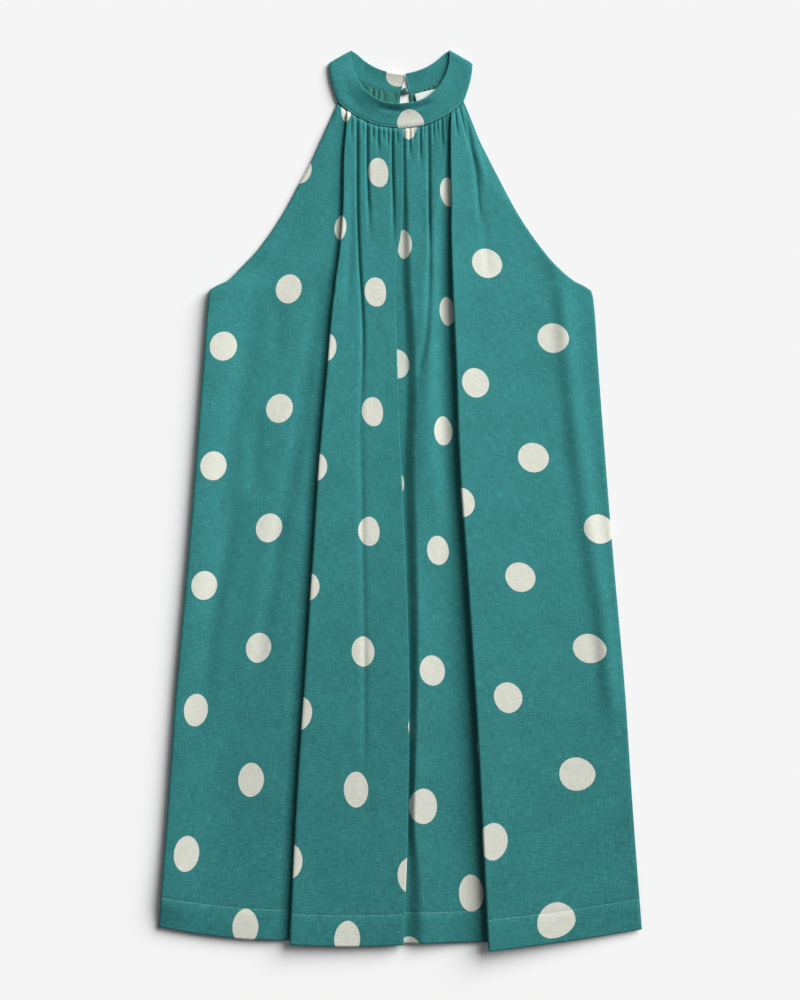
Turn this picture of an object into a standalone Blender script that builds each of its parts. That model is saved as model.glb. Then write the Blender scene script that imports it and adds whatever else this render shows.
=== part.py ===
"""A sleeveless A-line dress in dotted linen with a halter neckband, laid flat with its front up.

+X is the viewer's right, +Y the neck and +Z up from the table. The origin is on the table, under the
middle of the dress. Tables are in millimetres: x from the centre line, down from the collar's top.
"""

from collections import namedtuple
from math import cos, exp, pi, sin

import bpy
import bmesh
import numpy as np
from mathutils import Matrix, Vector

MM = 0.001
MIDDLE_DOWN = 467.75  # from the collar's top to the middle of the dress
MIDDLE_X = -0.25

WALL = 1.2  # linen of the two panels
BAND_WALL = 2.2  # neckband, a strip folded double
GAP = 0.3  # between pieces that touch or are sewn to each other
SEAM_GAP = 0.4  # between a panel's top edge and the band's seam, whose straight facets don't match
BACK_LEVEL = WALL / 2  # middle of the back panel's wall
FRONT_LEVEL = WALL + GAP + WALL / 2  # middle of the front panel's wall where it lies lowest
BAND_LEVEL = BAND_WALL / 2

# The front panel: its two edges and the edges of its three large folds, a row for each section.
Section = namedtuple("Section", "down left right left_fold centre_fold right_fold")
FRONT = [
    Section(54.5, -65.0, 65.5, -55.0, 3.5, 52.0),
    Section(64.5, -69.5, 70.0, -56.0, 3.3, 51.2),
    Section(76.0, -74.5, 74.5, -58.0, 3.2, 50.6),
    Section(93.5, -82.5, 81.5, -59.8, 3.2, 50.6),
    Section(114.5, -92.0, 92.0, -60.8, 3.2, 51.0),
    Section(142.5, -107.0, 106.5, -61.8, 3.4, 51.2),
    Section(171.5, -123.0, 122.5, -64.0, 3.4, 51.8),
    Section(208.0, -148.5, 148.0, -69.0, 2.4, 53.2),
    Section(226.5, -166.0, 164.0, -71.2, 1.0, 54.2),
    Section(241.5, -181.5, 182.5, -72.5, -0.5, 55.0),
    Section(249.5, -198.5, 198.0, -73.0, -1.4, 55.4),
    Section(262.0, -200.0, 201.0, -73.6, -2.6, 56.0),
    Section(324.5, -205.0, 205.5, -76.5, -3.4, 59.4),
    Section(423.5, -212.5, 213.0, -84.5, 0.5, 62.8),
    Section(534.5, -221.5, 222.0, -91.8, 6.0, 69.5),
    Section(666.5, -233.5, 233.5, -100.5, 9.0, 77.0),
    Section(792.5, -242.5, 242.0, -109.2, 7.0, 84.5),
    Section(913.0, -251.5, 251.0, -115.2, 3.0, 91.0),
]
# Levels between those rows where the mesh has a row of its own.
EXTRA_FRONT_ROWS = [59.0, 85.0, 104.0, 128.0, 190.0, 234.5, 290.0, 860.0]

# How deep each fold tucks under, the radius of its rolled edge, and how far the right one stands up.
Folds = namedtuple("Folds", "down left_tuck centre_tuck right_tuck small_roll large_roll lift")
FOLDS = [
    Folds(54.5, 3.0, 3.0, 3.0, 0.95, 0.95, 0.0),
    Folds(93.5, 3.6, 3.6, 5.0, 1.0, 1.2, 0.1),
    Folds(142.5, 6.0, 6.0, 10.0, 1.2, 1.7, 0.5),
    Folds(208.0, 12.0, 9.5, 16.0, 1.4, 2.3, 1.2),
    Folds(262.0, 16.0, 14.0, 20.0, 1.6, 2.8, 1.8),
    Folds(423.5, 20.0, 16.0, 23.0, 1.8, 3.3, 2.4),
    Folds(913.0, 22.0, 20.0, 27.0, 2.0, 3.8, 3.0),
]
TUCK_TURN = 0.9  # radius of a fold's hidden inner turn
TURN_STEPS = 4

# Gathers below the front neck seam, a row for each crease: where it leaves the seam, how deep it is
# and how far down it runs. Each lies in the stretch of cloth that it names.
Gather = namedtuple("Gather", "stretch x depth length")
GATHERS = [
    Gather("left", -60.0, 1.8, 80),
    Gather("box", -50.5, 1.8, 50),
    Gather("box", -45.0, 2.6, 110),
    Gather("box", -39.0, 2.0, 70),
    Gather("box", -33.0, 3.2, 150),
    Gather("box", -27.0, 2.0, 60),
    Gather("box", -21.5, 2.6, 110),
    Gather("box", -14.5, 2.2, 60),
    Gather("box", -9.5, 3.0, 150),
    Gather("box", -4.0, 2.0, 60),
    Gather("valley", 9.0, 2.6, 100),
    Gather("valley", 14.5, 1.8, 50),
    Gather("valley", 21.0, 2.6, 100),
    Gather("valley", 27.0, 3.2, 150),
    Gather("valley", 34.5, 2.2, 60),
    Gather("valley", 41.0, 2.6, 110),
    Gather("valley", 46.5, 1.8, 60),
    Gather("right", 56.0, 1.4, 60),
    Gather("right", 59.5, 1.4, 80),
    Gather("right", 63.0, 1.8, 150),
]
Knot = namedtuple("Knot", "x depth length")
# Columns from one crest or crease to the next.
COLUMN_STEPS = {"left": 3, "box": 1, "valley": 1, "right": 2}
GATHERS_SPREAD = 150.0  # from the seam down to where the columns are evenly spaced

# Long creases that lie between the folds: where each runs at three levels, its half width, its depth
# and the levels between which it fades out.
Crease = namedtuple("Crease", "top_x middle_x bottom_x half_width depth fade_from fade_to")
CREASE_LEVELS = (80.0, 300.0, 700.0)
BOX_CREASE = Crease(-45.5, -39.5, -38.5, 6.0, 2.2, 420.0, 720.0)
VALLEY_CREASE = Crease(27.5, 29.5, 14.0, 5.0, 1.6, 300.0, 460.0)
CREASES = {"box": BOX_CREASE, "valley": VALLEY_CREASE}

# Soft height of each stretch between its folds, in its middle, at the neck and lower down.
LEFT_CROWN = 3.0
VALLEY_CROWN = 2.6
NECK_SAG = 1.4
BOX_SAG = 3.2
CROWNS_FULL = 250.0  # distance down from the seam at which they are reached
RIGHT_SLOPE = 1.5  # 1 is straight from the right fold to the side, more is hollower

ROWS_STRAIGHT = 262.0  # level below which the rows no longer follow the front neck seam
BACK_ROWS_STRAIGHT = 150.0
HEM_DROP_STARTS = 680.0
# How far each stretch of the hem hangs below the last section, at its left, middle and right.
Hem = namedtuple("Hem", "left middle right")
HEM = {
    "left": Hem(-1.5, 10.5, 12.5),
    "box": Hem(16.5, 18.5, 17.0),
    "valley": Hem(16.0, 15.2, 14.5),
    "right": Hem(22.5, 13.5, 1.5),
}

# The back panel above the underarm; lower down its edges are the front's, drawn in a little.
Back = namedtuple("Back", "down left right")
BACK_TOP = [
    Back(24.0, -61.0, 61.5),
    Back(28.0, -61.0, 61.5),
    Back(36.0, -62.0, 62.0),
    Back(46.0, -63.0, 63.5),
    Back(51.0, -63.8, 64.2),
]
BACK_ROWS = [54.5, 64.5, 76.0, 93.5, 114.5, 142.5, 171.5, 208.0, 226.5, 241.5, 249.5, 262.0]
BACK_ROWS += [340.0, 480.0, 666.5, 792.5, 913.0]
BACK_INSET = 0.8
BACK_GATHERS = 8  # on each side of the keyhole
BACK_GATHER_DEPTH = 1.3
BACK_GATHER_LENGTH = 24.0
BACK_HEM = 5.0  # the back hem's middle hangs this far below its ends

KEYHOLE_X = 4.6
KEYHOLE_TOP_HALF = 4.8
KEYHOLE_TOP = 45.0
KEYHOLE_HALF = 7.0
KEYHOLE_WIDEST = 68.0
KEYHOLE_END = 125.0
KEYHOLE_LAST_ROW = 122.0

# The left half of the neckband, from the centre back over the shoulder fold to the centre front:
# where its seam edge and its free edge run, and how far the free edge rises.
Strip = namedtuple("Strip", "seam_x seam_down free_x free_down free_rise")
BAND_BACK = [
    Strip(0.2, 45.2, 3.2, 26.0, 5.6),
    Strip(-11.0, 44.0, -7.0, 24.8, 5.2),
    Strip(-23.5, 41.0, -17.0, 22.4, 4.2),
    Strip(-36.0, 36.3, -27.0, 18.5, 3.0),
    Strip(-50.5, 29.0, -37.5, 12.0, 1.6),
    Strip(-64.0, 21.5, -46.0, 4.6, 0.5),
    Strip(-73.5, 15.4, -50.8, 1.4, 0.0),
]
BAND_FRONT = [
    Strip(-74.6, 19.5, -51.5, 5.0, 0.0),
    Strip(-73.0, 30.0, -50.8, 14.5, 0.6),
    Strip(-69.5, 42.5, -47.0, 26.5, 1.8),
    Strip(-65.0, 54.0, -42.5, 35.5, 3.2),
    Strip(-54.5, 63.3, -35.5, 43.5, 4.8),
    Strip(-41.0, 71.3, -26.5, 50.0, 6.3),
    Strip(-23.5, 78.2, -15.0, 54.0, 7.5),
    Strip(0.25, 81.5, 0.0, 55.5, 8.0),
]
NumberedStrip = namedtuple("NumberedStrip", ("number",) + Strip._fields)
SHOULDER = Strip(-75.5, 13.8, -51.6, 0.0, 0.0)  # the outer face of the fold between the two
BAND_TURN = 1.65  # radius of the shoulder fold
BAND_STATIONS = 2  # mesh rows for each row of the tables
BAND_ACROSS = 4
BAND_CURL = 2.0  # 1 is a flat slope up to the free edge, more curls it
RIGHT_BACK_START = 0.83  # the right half's end, in rows of BAND_BACK from its first one

# Radius and height of the button's outline, from its domed top to the foot of its shank.
BUTTON_PROFILE = [(0, 3.9), (2.2, 3.75), (3.2, 3.35), (3.5, 2.8), (3.2, 2.2), (1.2, 2.0)]
BUTTON_PROFILE += [(1.2, 0.3), (0, 0.3)]
BUTTON_STEPS = 20
BUTTON_DOWN = 42.6
LOOP_WIRE = 0.6
LOOP_RADIUS = 2.1
LOOP_STEPS = 8
LOOP_LEVEL = 1.1

LABEL_SIZE = (25.0, 12.0, 1.0)
LABEL_CORNER = (16.4, 47.3)  # x and down of its upper left corner
LABEL_TURN = 0.28
LABEL_LEVEL = 3.35
LABEL_BEVEL = 0.2

MERGE = 0.001  # points this near to each other are one

TEAL = (0.052, 0.238, 0.231)
INSIDE_TEAL = (0.045, 0.205, 0.165)
LABEL_WHITE = (0.62, 0.65, 0.64)
BUTTON_TEAL = (0.03, 0.12, 0.115)


def smooth(value, start, end):
    """0 before the start, 1 after the end and an S curve between them."""
    t = min(max((value - start) / (end - start), 0.0), 1.0)
    return t * t * (3 - 2 * t)


def read(table, place):
    """A row between the table's rows, on smooth curves through them that never overshoot."""
    rows = np.array(table, float)
    key = rows[:, 0]
    step = np.diff(key)
    secant = np.diff(rows, axis=0) / step[:, None]
    slope = np.vstack([secant[:1], np.zeros_like(secant[1:]), secant[-1:]])
    before, after = secant[:-1], secant[1:]
    same_way = before * after > 0
    total = np.where(same_way, before + after, 1.0)
    slope[1:-1] = np.where(same_way, 2 * before * after / total, 0.0)
    i = int(np.clip(np.searchsorted(key, place, "right") - 1, 0, len(step) - 1))
    t = (place - key[i]) / step[i]
    start = rows[i] * (1 + 2 * t) * (1 - t) ** 2 + slope[i] * step[i] * t * (1 - t) ** 2
    end = rows[i + 1] * t * t * (3 - 2 * t) + slope[i + 1] * step[i] * t * t * (t - 1)
    return type(table[0])(*(start + end))


def point(x, down, z):
    """A place in the tables' millimetres as a point in metres."""
    return Vector((x - MIDDLE_X, MIDDLE_DOWN - down, z)) * MM


def material(name, colour, roughness):
    made = bpy.data.materials.new(name)
    made.use_nodes = True
    shader = made.node_tree.nodes["Principled BSDF"]
    shader.inputs["Base Color"].default_value = (*colour, 1)
    shader.inputs["Roughness"].default_value = roughness
    made.diffuse_color = (*colour, 1)
    return made


def add(name, mesh, look):
    obj = bpy.data.objects.new(name, mesh)
    mesh.materials.append(look)
    dress.objects.link(obj)
    return obj


def cloth(name, rows, wall, look, skip=()):
    """A sheet through rows of points, made a wall. Columns in skip are left open between rows."""
    sheet = bmesh.new()
    grid = [[sheet.verts.new(p) for p in row] for row in rows]
    for upper, lower in zip(grid, grid[1:]):
        for column in range(len(upper) - 1):
            if column not in skip:
                corners = (upper[column], lower[column], lower[column + 1], upper[column + 1])
                sheet.faces.new(corners)
    bmesh.ops.remove_doubles(sheet, verts=sheet.verts, dist=MERGE * MM)
    bmesh.ops.triangulate(sheet, faces=sheet.faces)
    mesh = bpy.data.meshes.new(name)
    sheet.to_mesh(mesh)
    sheet.free()
    mesh.shade_smooth()
    obj = add(name, mesh, look)
    solid = obj.modifiers.new("Wall", "SOLIDIFY")
    solid.thickness = wall * MM
    solid.offset = 0
    return obj


# ---- neckband ----

def band_line(strip, level, across=BAND_ACROSS):
    """The points across the band at one place, from the seam edge to the free edge."""
    line = []
    for k in range(across + 1):
        t = k / across
        x = strip.seam_x + (strip.free_x - strip.seam_x) * t
        down = strip.seam_down + (strip.free_down - strip.seam_down) * t
        line.append((x, down, level + strip.free_rise * t**BAND_CURL))
    return line


def band_stretch(table, start, level):
    """Lines across the band at even places from start to the table's last row."""
    numbered = [NumberedStrip(k, *row) for k, row in enumerate(table)]
    count = round((len(table) - 1 - start) * BAND_STATIONS)
    places = np.linspace(start, len(table) - 1, count + 1)
    return [band_line(Strip(*read(numbered, place)[1:]), level) for place in places]


def shoulder_turn(strip):
    """The lines round the fold at the shoulder, whose outer face ends on the strip's own line."""
    along = Vector((strip.free_x - strip.seam_x, strip.seam_down - strip.free_down)).normalized()
    outward = Vector((-along.y, along.x))
    lines = []
    for k in range(TURN_STEPS + 1):
        angle = pi * k / TURN_STEPS - pi / 2
        shift = BAND_TURN * (cos(angle) - 1) - BAND_WALL / 2
        rise = BAND_TURN * (sin(angle) + 1)
        line = band_line(strip, BAND_LEVEL + rise)
        lines.append([(x + outward.x * shift, down - outward.y * shift, z) for x, down, z in line])
    return lines


def half_band(start, side):
    """One half of the neckband: its lines along the back, round the shoulder fold and along the front."""
    back = band_stretch(BAND_BACK, start, BAND_LEVEL)
    front = band_stretch(BAND_FRONT, 0, BAND_LEVEL + 2 * BAND_TURN)
    half = (back, shoulder_turn(SHOULDER), front)
    return [[[(-side * x, down, z) for x, down, z in line] for line in lines] for lines in half]


def make_neckband(left, right):
    lines = sum(left, [])[:-1] + sum(right, [])[::-1]
    return cloth("neckband", [[point(*p) for p in line] for line in lines], BAND_WALL, teal)


def seam_edge(left_lines, right_lines):
    """The band's seam edge on the front or the back, as places by rising x."""
    return sorted({(line[0][0], line[0][1]) for line in left_lines + right_lines})


# ---- front panel ----

def stretch_columns(stretch, start, end):
    """Places from 0 to 1 along a stretch at the seam, with each one's gather depth and length."""
    creases = [g for g in GATHERS if g.stretch == stretch]
    knots = [Knot(start, 0.0, 1.0)]
    marks = [start] + [g.x for g in creases] + [end]
    for k, (here, there) in enumerate(zip(marks, marks[1:])):
        beside = creases[max(k - 1, 0) : k + 1]
        depth = sum(g.depth for g in beside) / len(beside)
        length = sum(g.length for g in beside) / len(beside)
        knots.append(Knot((here + there) / 2, depth, length))
        knots.append(Knot(there, 0.0, length))
    columns = [knots[0]]
    steps = COLUMN_STEPS[stretch]
    for here, there in zip(knots, knots[1:]):
        for k in range(1, steps + 1):
            t = k / steps
            eased = smooth(t, 0, 1)
            depth = here.depth + (there.depth - here.depth) * eased
            columns.append(Knot(here.x + (there.x - here.x) * t, depth, there.length))
    return [Knot((c.x - start) / (end - start), c.depth, c.length) for c in columns]


def fold_turns(edge, tuck, roll, lift, side):
    """Through a folded edge from left to right. Side 1 has the upper cloth on the right, -1 on the left."""
    inner_x = edge + side * (tuck - TUCK_TURN)
    outer_x = edge + side * roll
    middle = FRONT_LEVEL + 2 * TUCK_TURN + lift
    angles = [pi * k / TURN_STEPS - pi / 2 for k in range(TURN_STEPS + 1)]
    turns = [
        (inner_x + side * TUCK_TURN * cos(a), FRONT_LEVEL + TUCK_TURN * (1 + sin(a))) for a in angles
    ]
    turns += [(outer_x - side * roll * cos(a), middle + roll * (1 + sin(a))) for a in angles]
    return turns if side > 0 else turns[::-1]


def crease_depth(crease, x, down):
    """How far a long crease sinks the cloth at a place."""
    centre = np.interp(down, CREASE_LEVELS, crease[:3])
    grown = smooth(down, FRONT[0].down, CREASE_LEVELS[0])
    faded = smooth(down, crease.fade_from, crease.fade_to)
    return crease.depth * grown * (1 - faded) * exp(-(((x - centre) / crease.half_width) ** 2))


def stretch_height(stretch, x, t, section, tops, full):
    """Height of a stretch at x, t of the way along it; full says how far its crown is grown."""
    if stretch == "left":
        f = (x - section.left) / (section.left_fold - section.left)
        return FRONT_LEVEL + LEFT_CROWN * full * sin(pi * min(max(f, 0), 1))
    if stretch == "valley":
        f = (x - section.centre_fold) / (section.right_fold - section.centre_fold)
        return FRONT_LEVEL + VALLEY_CROWN * full * sin(pi * min(max(f, 0), 1))
    if stretch == "box":
        sag = NECK_SAG + (BOX_SAG - NECK_SAG) * full
        return tops["left"] + (tops["centre"] - tops["left"]) * t - sag * sin(pi * t)
    return FRONT_LEVEL + (tops["right"] - FRONT_LEVEL) * (1 - t) ** RIGHT_SLOPE


def hem_drop(stretch, t):
    left, middle, right = HEM[stretch]
    return left * (1 - t) * (1 - 2 * t) + middle * 4 * t * (1 - t) + right * t * (2 * t - 1)


def front_row(down, columns):
    """The front panel's points at one level, from the left edge through its folds to the right edge."""
    section = read(FRONT, down)
    folds = read(FOLDS, down)
    seam = FRONT[0].down
    even = smooth(down, seam, seam + GATHERS_SPREAD)
    full = smooth(down, seam, seam + CROWNS_FULL)
    turns = {
        "left": fold_turns(section.left_fold, folds.left_tuck, folds.small_roll, 0, 1),
        "centre": fold_turns(section.centre_fold, folds.centre_tuck, folds.small_roll, 0, -1),
        "right": fold_turns(section.right_fold, folds.right_tuck, folds.large_roll, folds.lift, 1),
    }
    tops = {"left": turns["left"][-1][1], "centre": turns["centre"][0][1], "right": turns["right"][-1][1]}
    ends = {
        "left": (section.left, turns["left"][0][0]),
        "box": (turns["left"][-1][0], turns["centre"][0][0]),
        "valley": (turns["centre"][-1][0], turns["right"][0][0]),
        "right": (turns["right"][-1][0], section.right),
    }
    line = []
    for stretch, turn in zip(("left", "box", "valley", "right"), ("left", "centre", "right", None)):
        start, end = ends[stretch]
        last = len(columns[stretch]) - 1
        inner = columns[stretch] if stretch == "left" else columns[stretch][1:]
        first = 0 if stretch == "left" else 1
        inner = inner if turn is None else inner[:-1]
        for k, column in enumerate(inner, first):
            t = column.x + (k / last - column.x) * even
            x = start + (end - start) * t
            z = stretch_height(stretch, x, t, section, tops, full)
            z += column.depth * (1 - smooth(down, seam, seam + column.length))
            if stretch in CREASES:
                z = max(z - crease_depth(CREASES[stretch], x, down), FRONT_LEVEL)
            line.append((x, z, hem_drop(stretch, t)))
        if turn:
            after = {"left": "box", "centre": "valley", "right": "right"}[turn]
            path = turns[turn]
            for k, (x, z) in enumerate(path):
                t = k / (len(path) - 1)
                line.append((x, z, hem_drop(stretch, 1) * (1 - t) + hem_drop(after, 0) * t))
    return section, line


def make_front(seam_places):
    seam = FRONT[0].down
    first_section = FRONT[0]
    first_folds = FOLDS[0]
    under = first_folds.left_tuck - TUCK_TURN
    roll = first_folds.small_roll
    columns = {
        "left": stretch_columns("left", first_section.left, first_section.left_fold + under),
        "box": stretch_columns("box", first_section.left_fold + roll, first_section.centre_fold - roll),
        "valley": stretch_columns(
            "valley", first_section.centre_fold - under, first_section.right_fold + under
        ),
        "right": stretch_columns("right", first_section.right_fold + roll, first_section.right),
    }
    levels = sorted([row.down for row in FRONT] + EXTRA_FRONT_ROWS)
    seam_x, seam_down = zip(*seam_places)
    rows = []
    for down in levels:
        section, line = front_row(down, columns)
        centre = (section.left + section.right) / 2
        half = (section.right - section.left) / 2
        straight = smooth(down, seam, ROWS_STRAIGHT)
        hang = smooth(down, HEM_DROP_STARTS, levels[-1])
        row = []
        for x, z, drop in line:
            across = (x - centre) / half
            at_seam = first_section.left + (across + 1) / 2 * (first_section.right - first_section.left)
            dip = np.interp(at_seam, seam_x, seam_down) + SEAM_GAP - seam
            row.append(point(x, down + dip * (1 - straight) + drop * hang, z))
        rows.append(row)
    return cloth("front_panel", rows, WALL, teal)


# ---- back panel ----

def keyhole_half(down):
    """Half the keyhole's width: nearly parallel at the seam, widest lower down and round at its end."""
    if down >= KEYHOLE_END:
        return 0.0
    if down < KEYHOLE_WIDEST:
        widened = smooth(down, KEYHOLE_TOP, KEYHOLE_WIDEST)
        return KEYHOLE_TOP_HALF + (KEYHOLE_HALF - KEYHOLE_TOP_HALF) * widened
    t = (down - KEYHOLE_WIDEST) / (KEYHOLE_END - KEYHOLE_WIDEST)
    return KEYHOLE_HALF * (1 - t * t) ** 0.5


def back_edges(down):
    if down < BACK_ROWS[0]:
        row = read(BACK_TOP, down)
        return row.left, row.right
    section = read(FRONT, down)
    return section.left + BACK_INSET, section.right - BACK_INSET


def make_back(seam_places):
    half_count = 2 * BACK_GATHERS
    seam_x, seam_down = zip(*seam_places)
    levels = sorted([row.down for row in BACK_TOP] + BACK_ROWS + [KEYHOLE_LAST_ROW, KEYHOLE_END])
    top = levels[0]
    rows = []
    for down in levels:
        left, right = back_edges(down)
        straight = smooth(down, top, BACK_ROWS_STRAIGHT)
        hang = smooth(down, HEM_DROP_STARTS, levels[-1])
        fade = 1 - smooth(down, top, top + BACK_GATHER_LENGTH)
        row = []
        for side, edge in ((-1, left), (1, right)):
            reach = abs(edge - KEYHOLE_X)
            for k in range(half_count + 1):
                near = k / half_count if side < 0 else 1 - k / half_count
                across = side * (1 - near)
                level = down + dip_at(across, seam_x, seam_down, top) * (1 - straight)
                hole = keyhole_half(level)
                x = KEYHOLE_X + side * (hole + (reach - hole) * (1 - near))
                z = BACK_LEVEL + BACK_GATHER_DEPTH * fade * (k % 2)
                sag = BACK_HEM * (1 - across * across) * hang
                row.append(point(x, level + sag, z))
        rows.append(row)
    return cloth("back_panel", rows, WALL, inside_teal, skip=(half_count,))


def dip_at(across, seam_x, seam_down, top):
    """How far the back neck seam lies below its highest row, -1 to 1 across the panel."""
    edge = BACK_TOP[0].left if across < 0 else BACK_TOP[0].right
    start = KEYHOLE_X + np.sign(across) * KEYHOLE_TOP_HALF if across else KEYHOLE_X
    x = start + (edge - start) * abs(across)
    return float(np.interp(x, seam_x, seam_down)) + SEAM_GAP - top


# ---- closure and label ----

def make_button(x, down):
    profile = bmesh.new()
    verts = [profile.verts.new(Vector((r, 0, z)) * MM) for r, z in BUTTON_PROFILE]
    for a, b in zip(verts, verts[1:]):
        profile.edges.new((a, b))
    mesh = bpy.data.meshes.new("button")
    profile.to_mesh(mesh)
    profile.free()
    obj = add("button", mesh, button_teal)
    obj.location = point(x, down, 0)
    turn = obj.modifiers.new("Turn", "SCREW")
    turn.steps = turn.render_steps = BUTTON_STEPS
    turn.use_merge_vertices = True
    turn.merge_threshold = MERGE * MM
    turn.use_normal_calculate = True
    return obj


def make_loop(x, down, ends):
    """A rouleau from the band's right end, round the button's shank and back."""
    route = [(ends[0] - GAP, down - LOOP_RADIUS)]
    for k in range(LOOP_STEPS + 1):
        angle = pi / 2 + pi * k / LOOP_STEPS
        route.append((x + LOOP_RADIUS * cos(angle), down - LOOP_RADIUS * sin(angle)))
    route.append((ends[1] - GAP, down + LOOP_RADIUS))
    curve = bpy.data.curves.new("button_loop", "CURVE")
    curve.dimensions = "3D"
    curve.bevel_depth = LOOP_WIRE * MM
    curve.bevel_resolution = 1
    curve.use_fill_caps = True
    spline = curve.splines.new("POLY")
    spline.points.add(len(route) - 1)
    for spot, (px, pdown) in zip(spline.points, route):
        spot.co = (*point(px, pdown, LOOP_LEVEL), 1)
    curve.materials.append(teal)
    obj = bpy.data.objects.new("button_loop", curve)
    dress.objects.link(obj)
    return obj


def make_label():
    bpy.ops.mesh.primitive_cube_add(size=1)
    obj = bpy.context.object
    obj.name = obj.data.name = "label"
    obj.users_collection[0].objects.unlink(obj)
    dress.objects.link(obj)
    size = Vector(LABEL_SIZE) * MM
    obj.data.transform(Matrix.Translation((0.5, -0.5, 0)))
    obj.data.transform(Matrix.Diagonal((*size, 1)))
    obj.rotation_euler.z = LABEL_TURN
    obj.location = point(*LABEL_CORNER, LABEL_LEVEL)
    obj.data.materials.append(label_white)
    edge = obj.modifiers.new("Edge", "BEVEL")
    edge.width = LABEL_BEVEL * MM
    return obj


def end_x(line, down):
    """X of the band's end at one level."""
    return float(np.interp(down, [line[-1][1], line[0][1]], [line[-1][0], line[0][0]]))


for old in list(bpy.data.objects):
    bpy.data.objects.remove(old)
dress = bpy.data.collections.new("a_line_dress")
bpy.context.scene.collection.children.link(dress)
teal = material("dotted linen", TEAL, 0.85)
inside_teal = material("linen wrong side", INSIDE_TEAL, 0.88)
button_teal = material("button", BUTTON_TEAL, 0.35)
label_white = material("woven label", LABEL_WHITE, 0.7)

left_half = half_band(0, -1)
right_half = half_band(RIGHT_BACK_START, 1)
make_neckband(left_half, right_half)
make_front(seam_edge(left_half[-1], right_half[-1]))
make_back(seam_edge(left_half[0], right_half[0]))

left_end, right_end = left_half[0][0], right_half[0][0]
button_x = (end_x(left_end, BUTTON_DOWN) + end_x(right_end, BUTTON_DOWN)) / 2
loop_ends = [end_x(right_end, BUTTON_DOWN + side * LOOP_RADIUS) for side in (-1, 1)]
make_button(button_x, BUTTON_DOWN)
make_loop(button_x, BUTTON_DOWN, loop_ends)
make_label()
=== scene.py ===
"""The looks of a sleeveless A-line dress in dotted linen, laid flat with its front up.

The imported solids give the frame. Thin shells in the same form, with finer folds, gathers and stitching,
stand for the cloth pieces. Tables are in millimetres: x from the dress's centre line, down from the
collar's top. Everything in the scene is in metres, with +Y to the neck and +Z up from the floor.
"""

from collections import namedtuple
from math import cos, pi, sin

import bpy
import numpy as np
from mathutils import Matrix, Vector


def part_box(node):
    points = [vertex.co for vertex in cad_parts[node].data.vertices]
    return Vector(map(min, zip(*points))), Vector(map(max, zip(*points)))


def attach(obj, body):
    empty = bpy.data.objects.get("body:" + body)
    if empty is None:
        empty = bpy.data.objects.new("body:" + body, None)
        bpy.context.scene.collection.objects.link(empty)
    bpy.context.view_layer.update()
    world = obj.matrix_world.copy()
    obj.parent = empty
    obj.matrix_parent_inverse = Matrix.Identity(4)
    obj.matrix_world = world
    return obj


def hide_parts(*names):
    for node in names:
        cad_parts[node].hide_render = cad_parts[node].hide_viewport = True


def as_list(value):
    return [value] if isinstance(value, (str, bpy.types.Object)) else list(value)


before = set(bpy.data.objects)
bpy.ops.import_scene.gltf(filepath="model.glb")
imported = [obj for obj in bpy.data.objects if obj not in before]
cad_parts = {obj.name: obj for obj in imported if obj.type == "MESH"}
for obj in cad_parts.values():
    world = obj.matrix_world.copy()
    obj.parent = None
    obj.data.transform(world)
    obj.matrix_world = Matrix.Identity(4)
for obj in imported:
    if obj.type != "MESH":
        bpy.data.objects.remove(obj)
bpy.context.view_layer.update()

MM = 0.001
MIDDLE_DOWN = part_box("neckband")[1][1] / MM  # the collar's top lies this far above the middle
MIDDLE_X = -0.25  # the middle of the dress's box, from its centre line


def table(fields, *rows):
    """A list of rows whose columns have names."""
    kind = namedtuple("kind", fields)
    return [kind(*row) for row in rows]


# ---- levels of the layers, from the floor up ----
CLOTH = 0.9  # thickness of the linen shells
BACK_LEVEL = 0.6
FRONT_LEVEL = 2.1
BAND_WALL = 2.0
BAND_LEVEL = 1.1
BAND_TURN = 1.65

# ---- front panel: its edges and its three large folds ----
FRONT = table(
    "down left right left_fold centre_fold right_fold",
    (54.5, -65.0, 65.5, -55.5, 3.0, 52.4),
    (64.5, -69.5, 70.0, -56.2, 2.8, 52.0),
    (76.0, -74.5, 74.5, -57.2, 2.6, 51.8),
    (93.5, -82.5, 81.5, -58.8, 2.4, 51.8),
    (114.5, -92.0, 92.0, -59.3, 2.4, 52.1),
    (142.5, -107.0, 106.5, -59.6, 2.4, 52.6),
    (171.5, -123.0, 122.5, -60.8, 1.4, 52.2),
    (208.0, -148.5, 148.0, -63.8, -3.2, 52.8),
    (226.5, -166.0, 164.0, -66.0, -4.8, 53.2),
    (241.5, -181.5, 182.5, -67.9, -5.6, 53.6),
    (249.5, -198.5, 198.0, -68.4, -5.7, 53.9),
    (262.0, -200.0, 201.0, -70.4, -5.2, 54.4),
    (324.5, -205.0, 205.5, -75.8, -3.4, 57.2),
    (423.5, -212.5, 213.0, -84.5, 0.3, 60.6),
    (534.5, -221.5, 222.0, -91.8, 5.6, 68.2),
    (666.5, -233.5, 233.5, -100.5, 9.2, 76.8),
    (792.5, -242.5, 242.0, -109.2, 7.8, 84.3),
    (913.0, -251.5, 251.0, -115.2, 3.2, 90.8),
)
SEAM = FRONT[0].down
HEM_END = FRONT[-1].down
ARMHOLE_ROWS = (160.0, 268.0)
HEM_LINE = 882.0  # the row that the hem's stitches follow
ROWS_STRAIGHT = 262.0  # below it the rows no longer follow the neck seam
HEM_DROP_STARTS = 680.0
HEM_STANDS = 2.6  # how far the stiff hem stands up from the cloth's line
HEM_BENDS = (800.0, 905.0)
HEM_RIDGE = 0.45  # how far the turned-up cloth raises it below its stitches
HEM_RIDGE_GROWS = 2.5
HEM_GROOVE = 0.35

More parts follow.
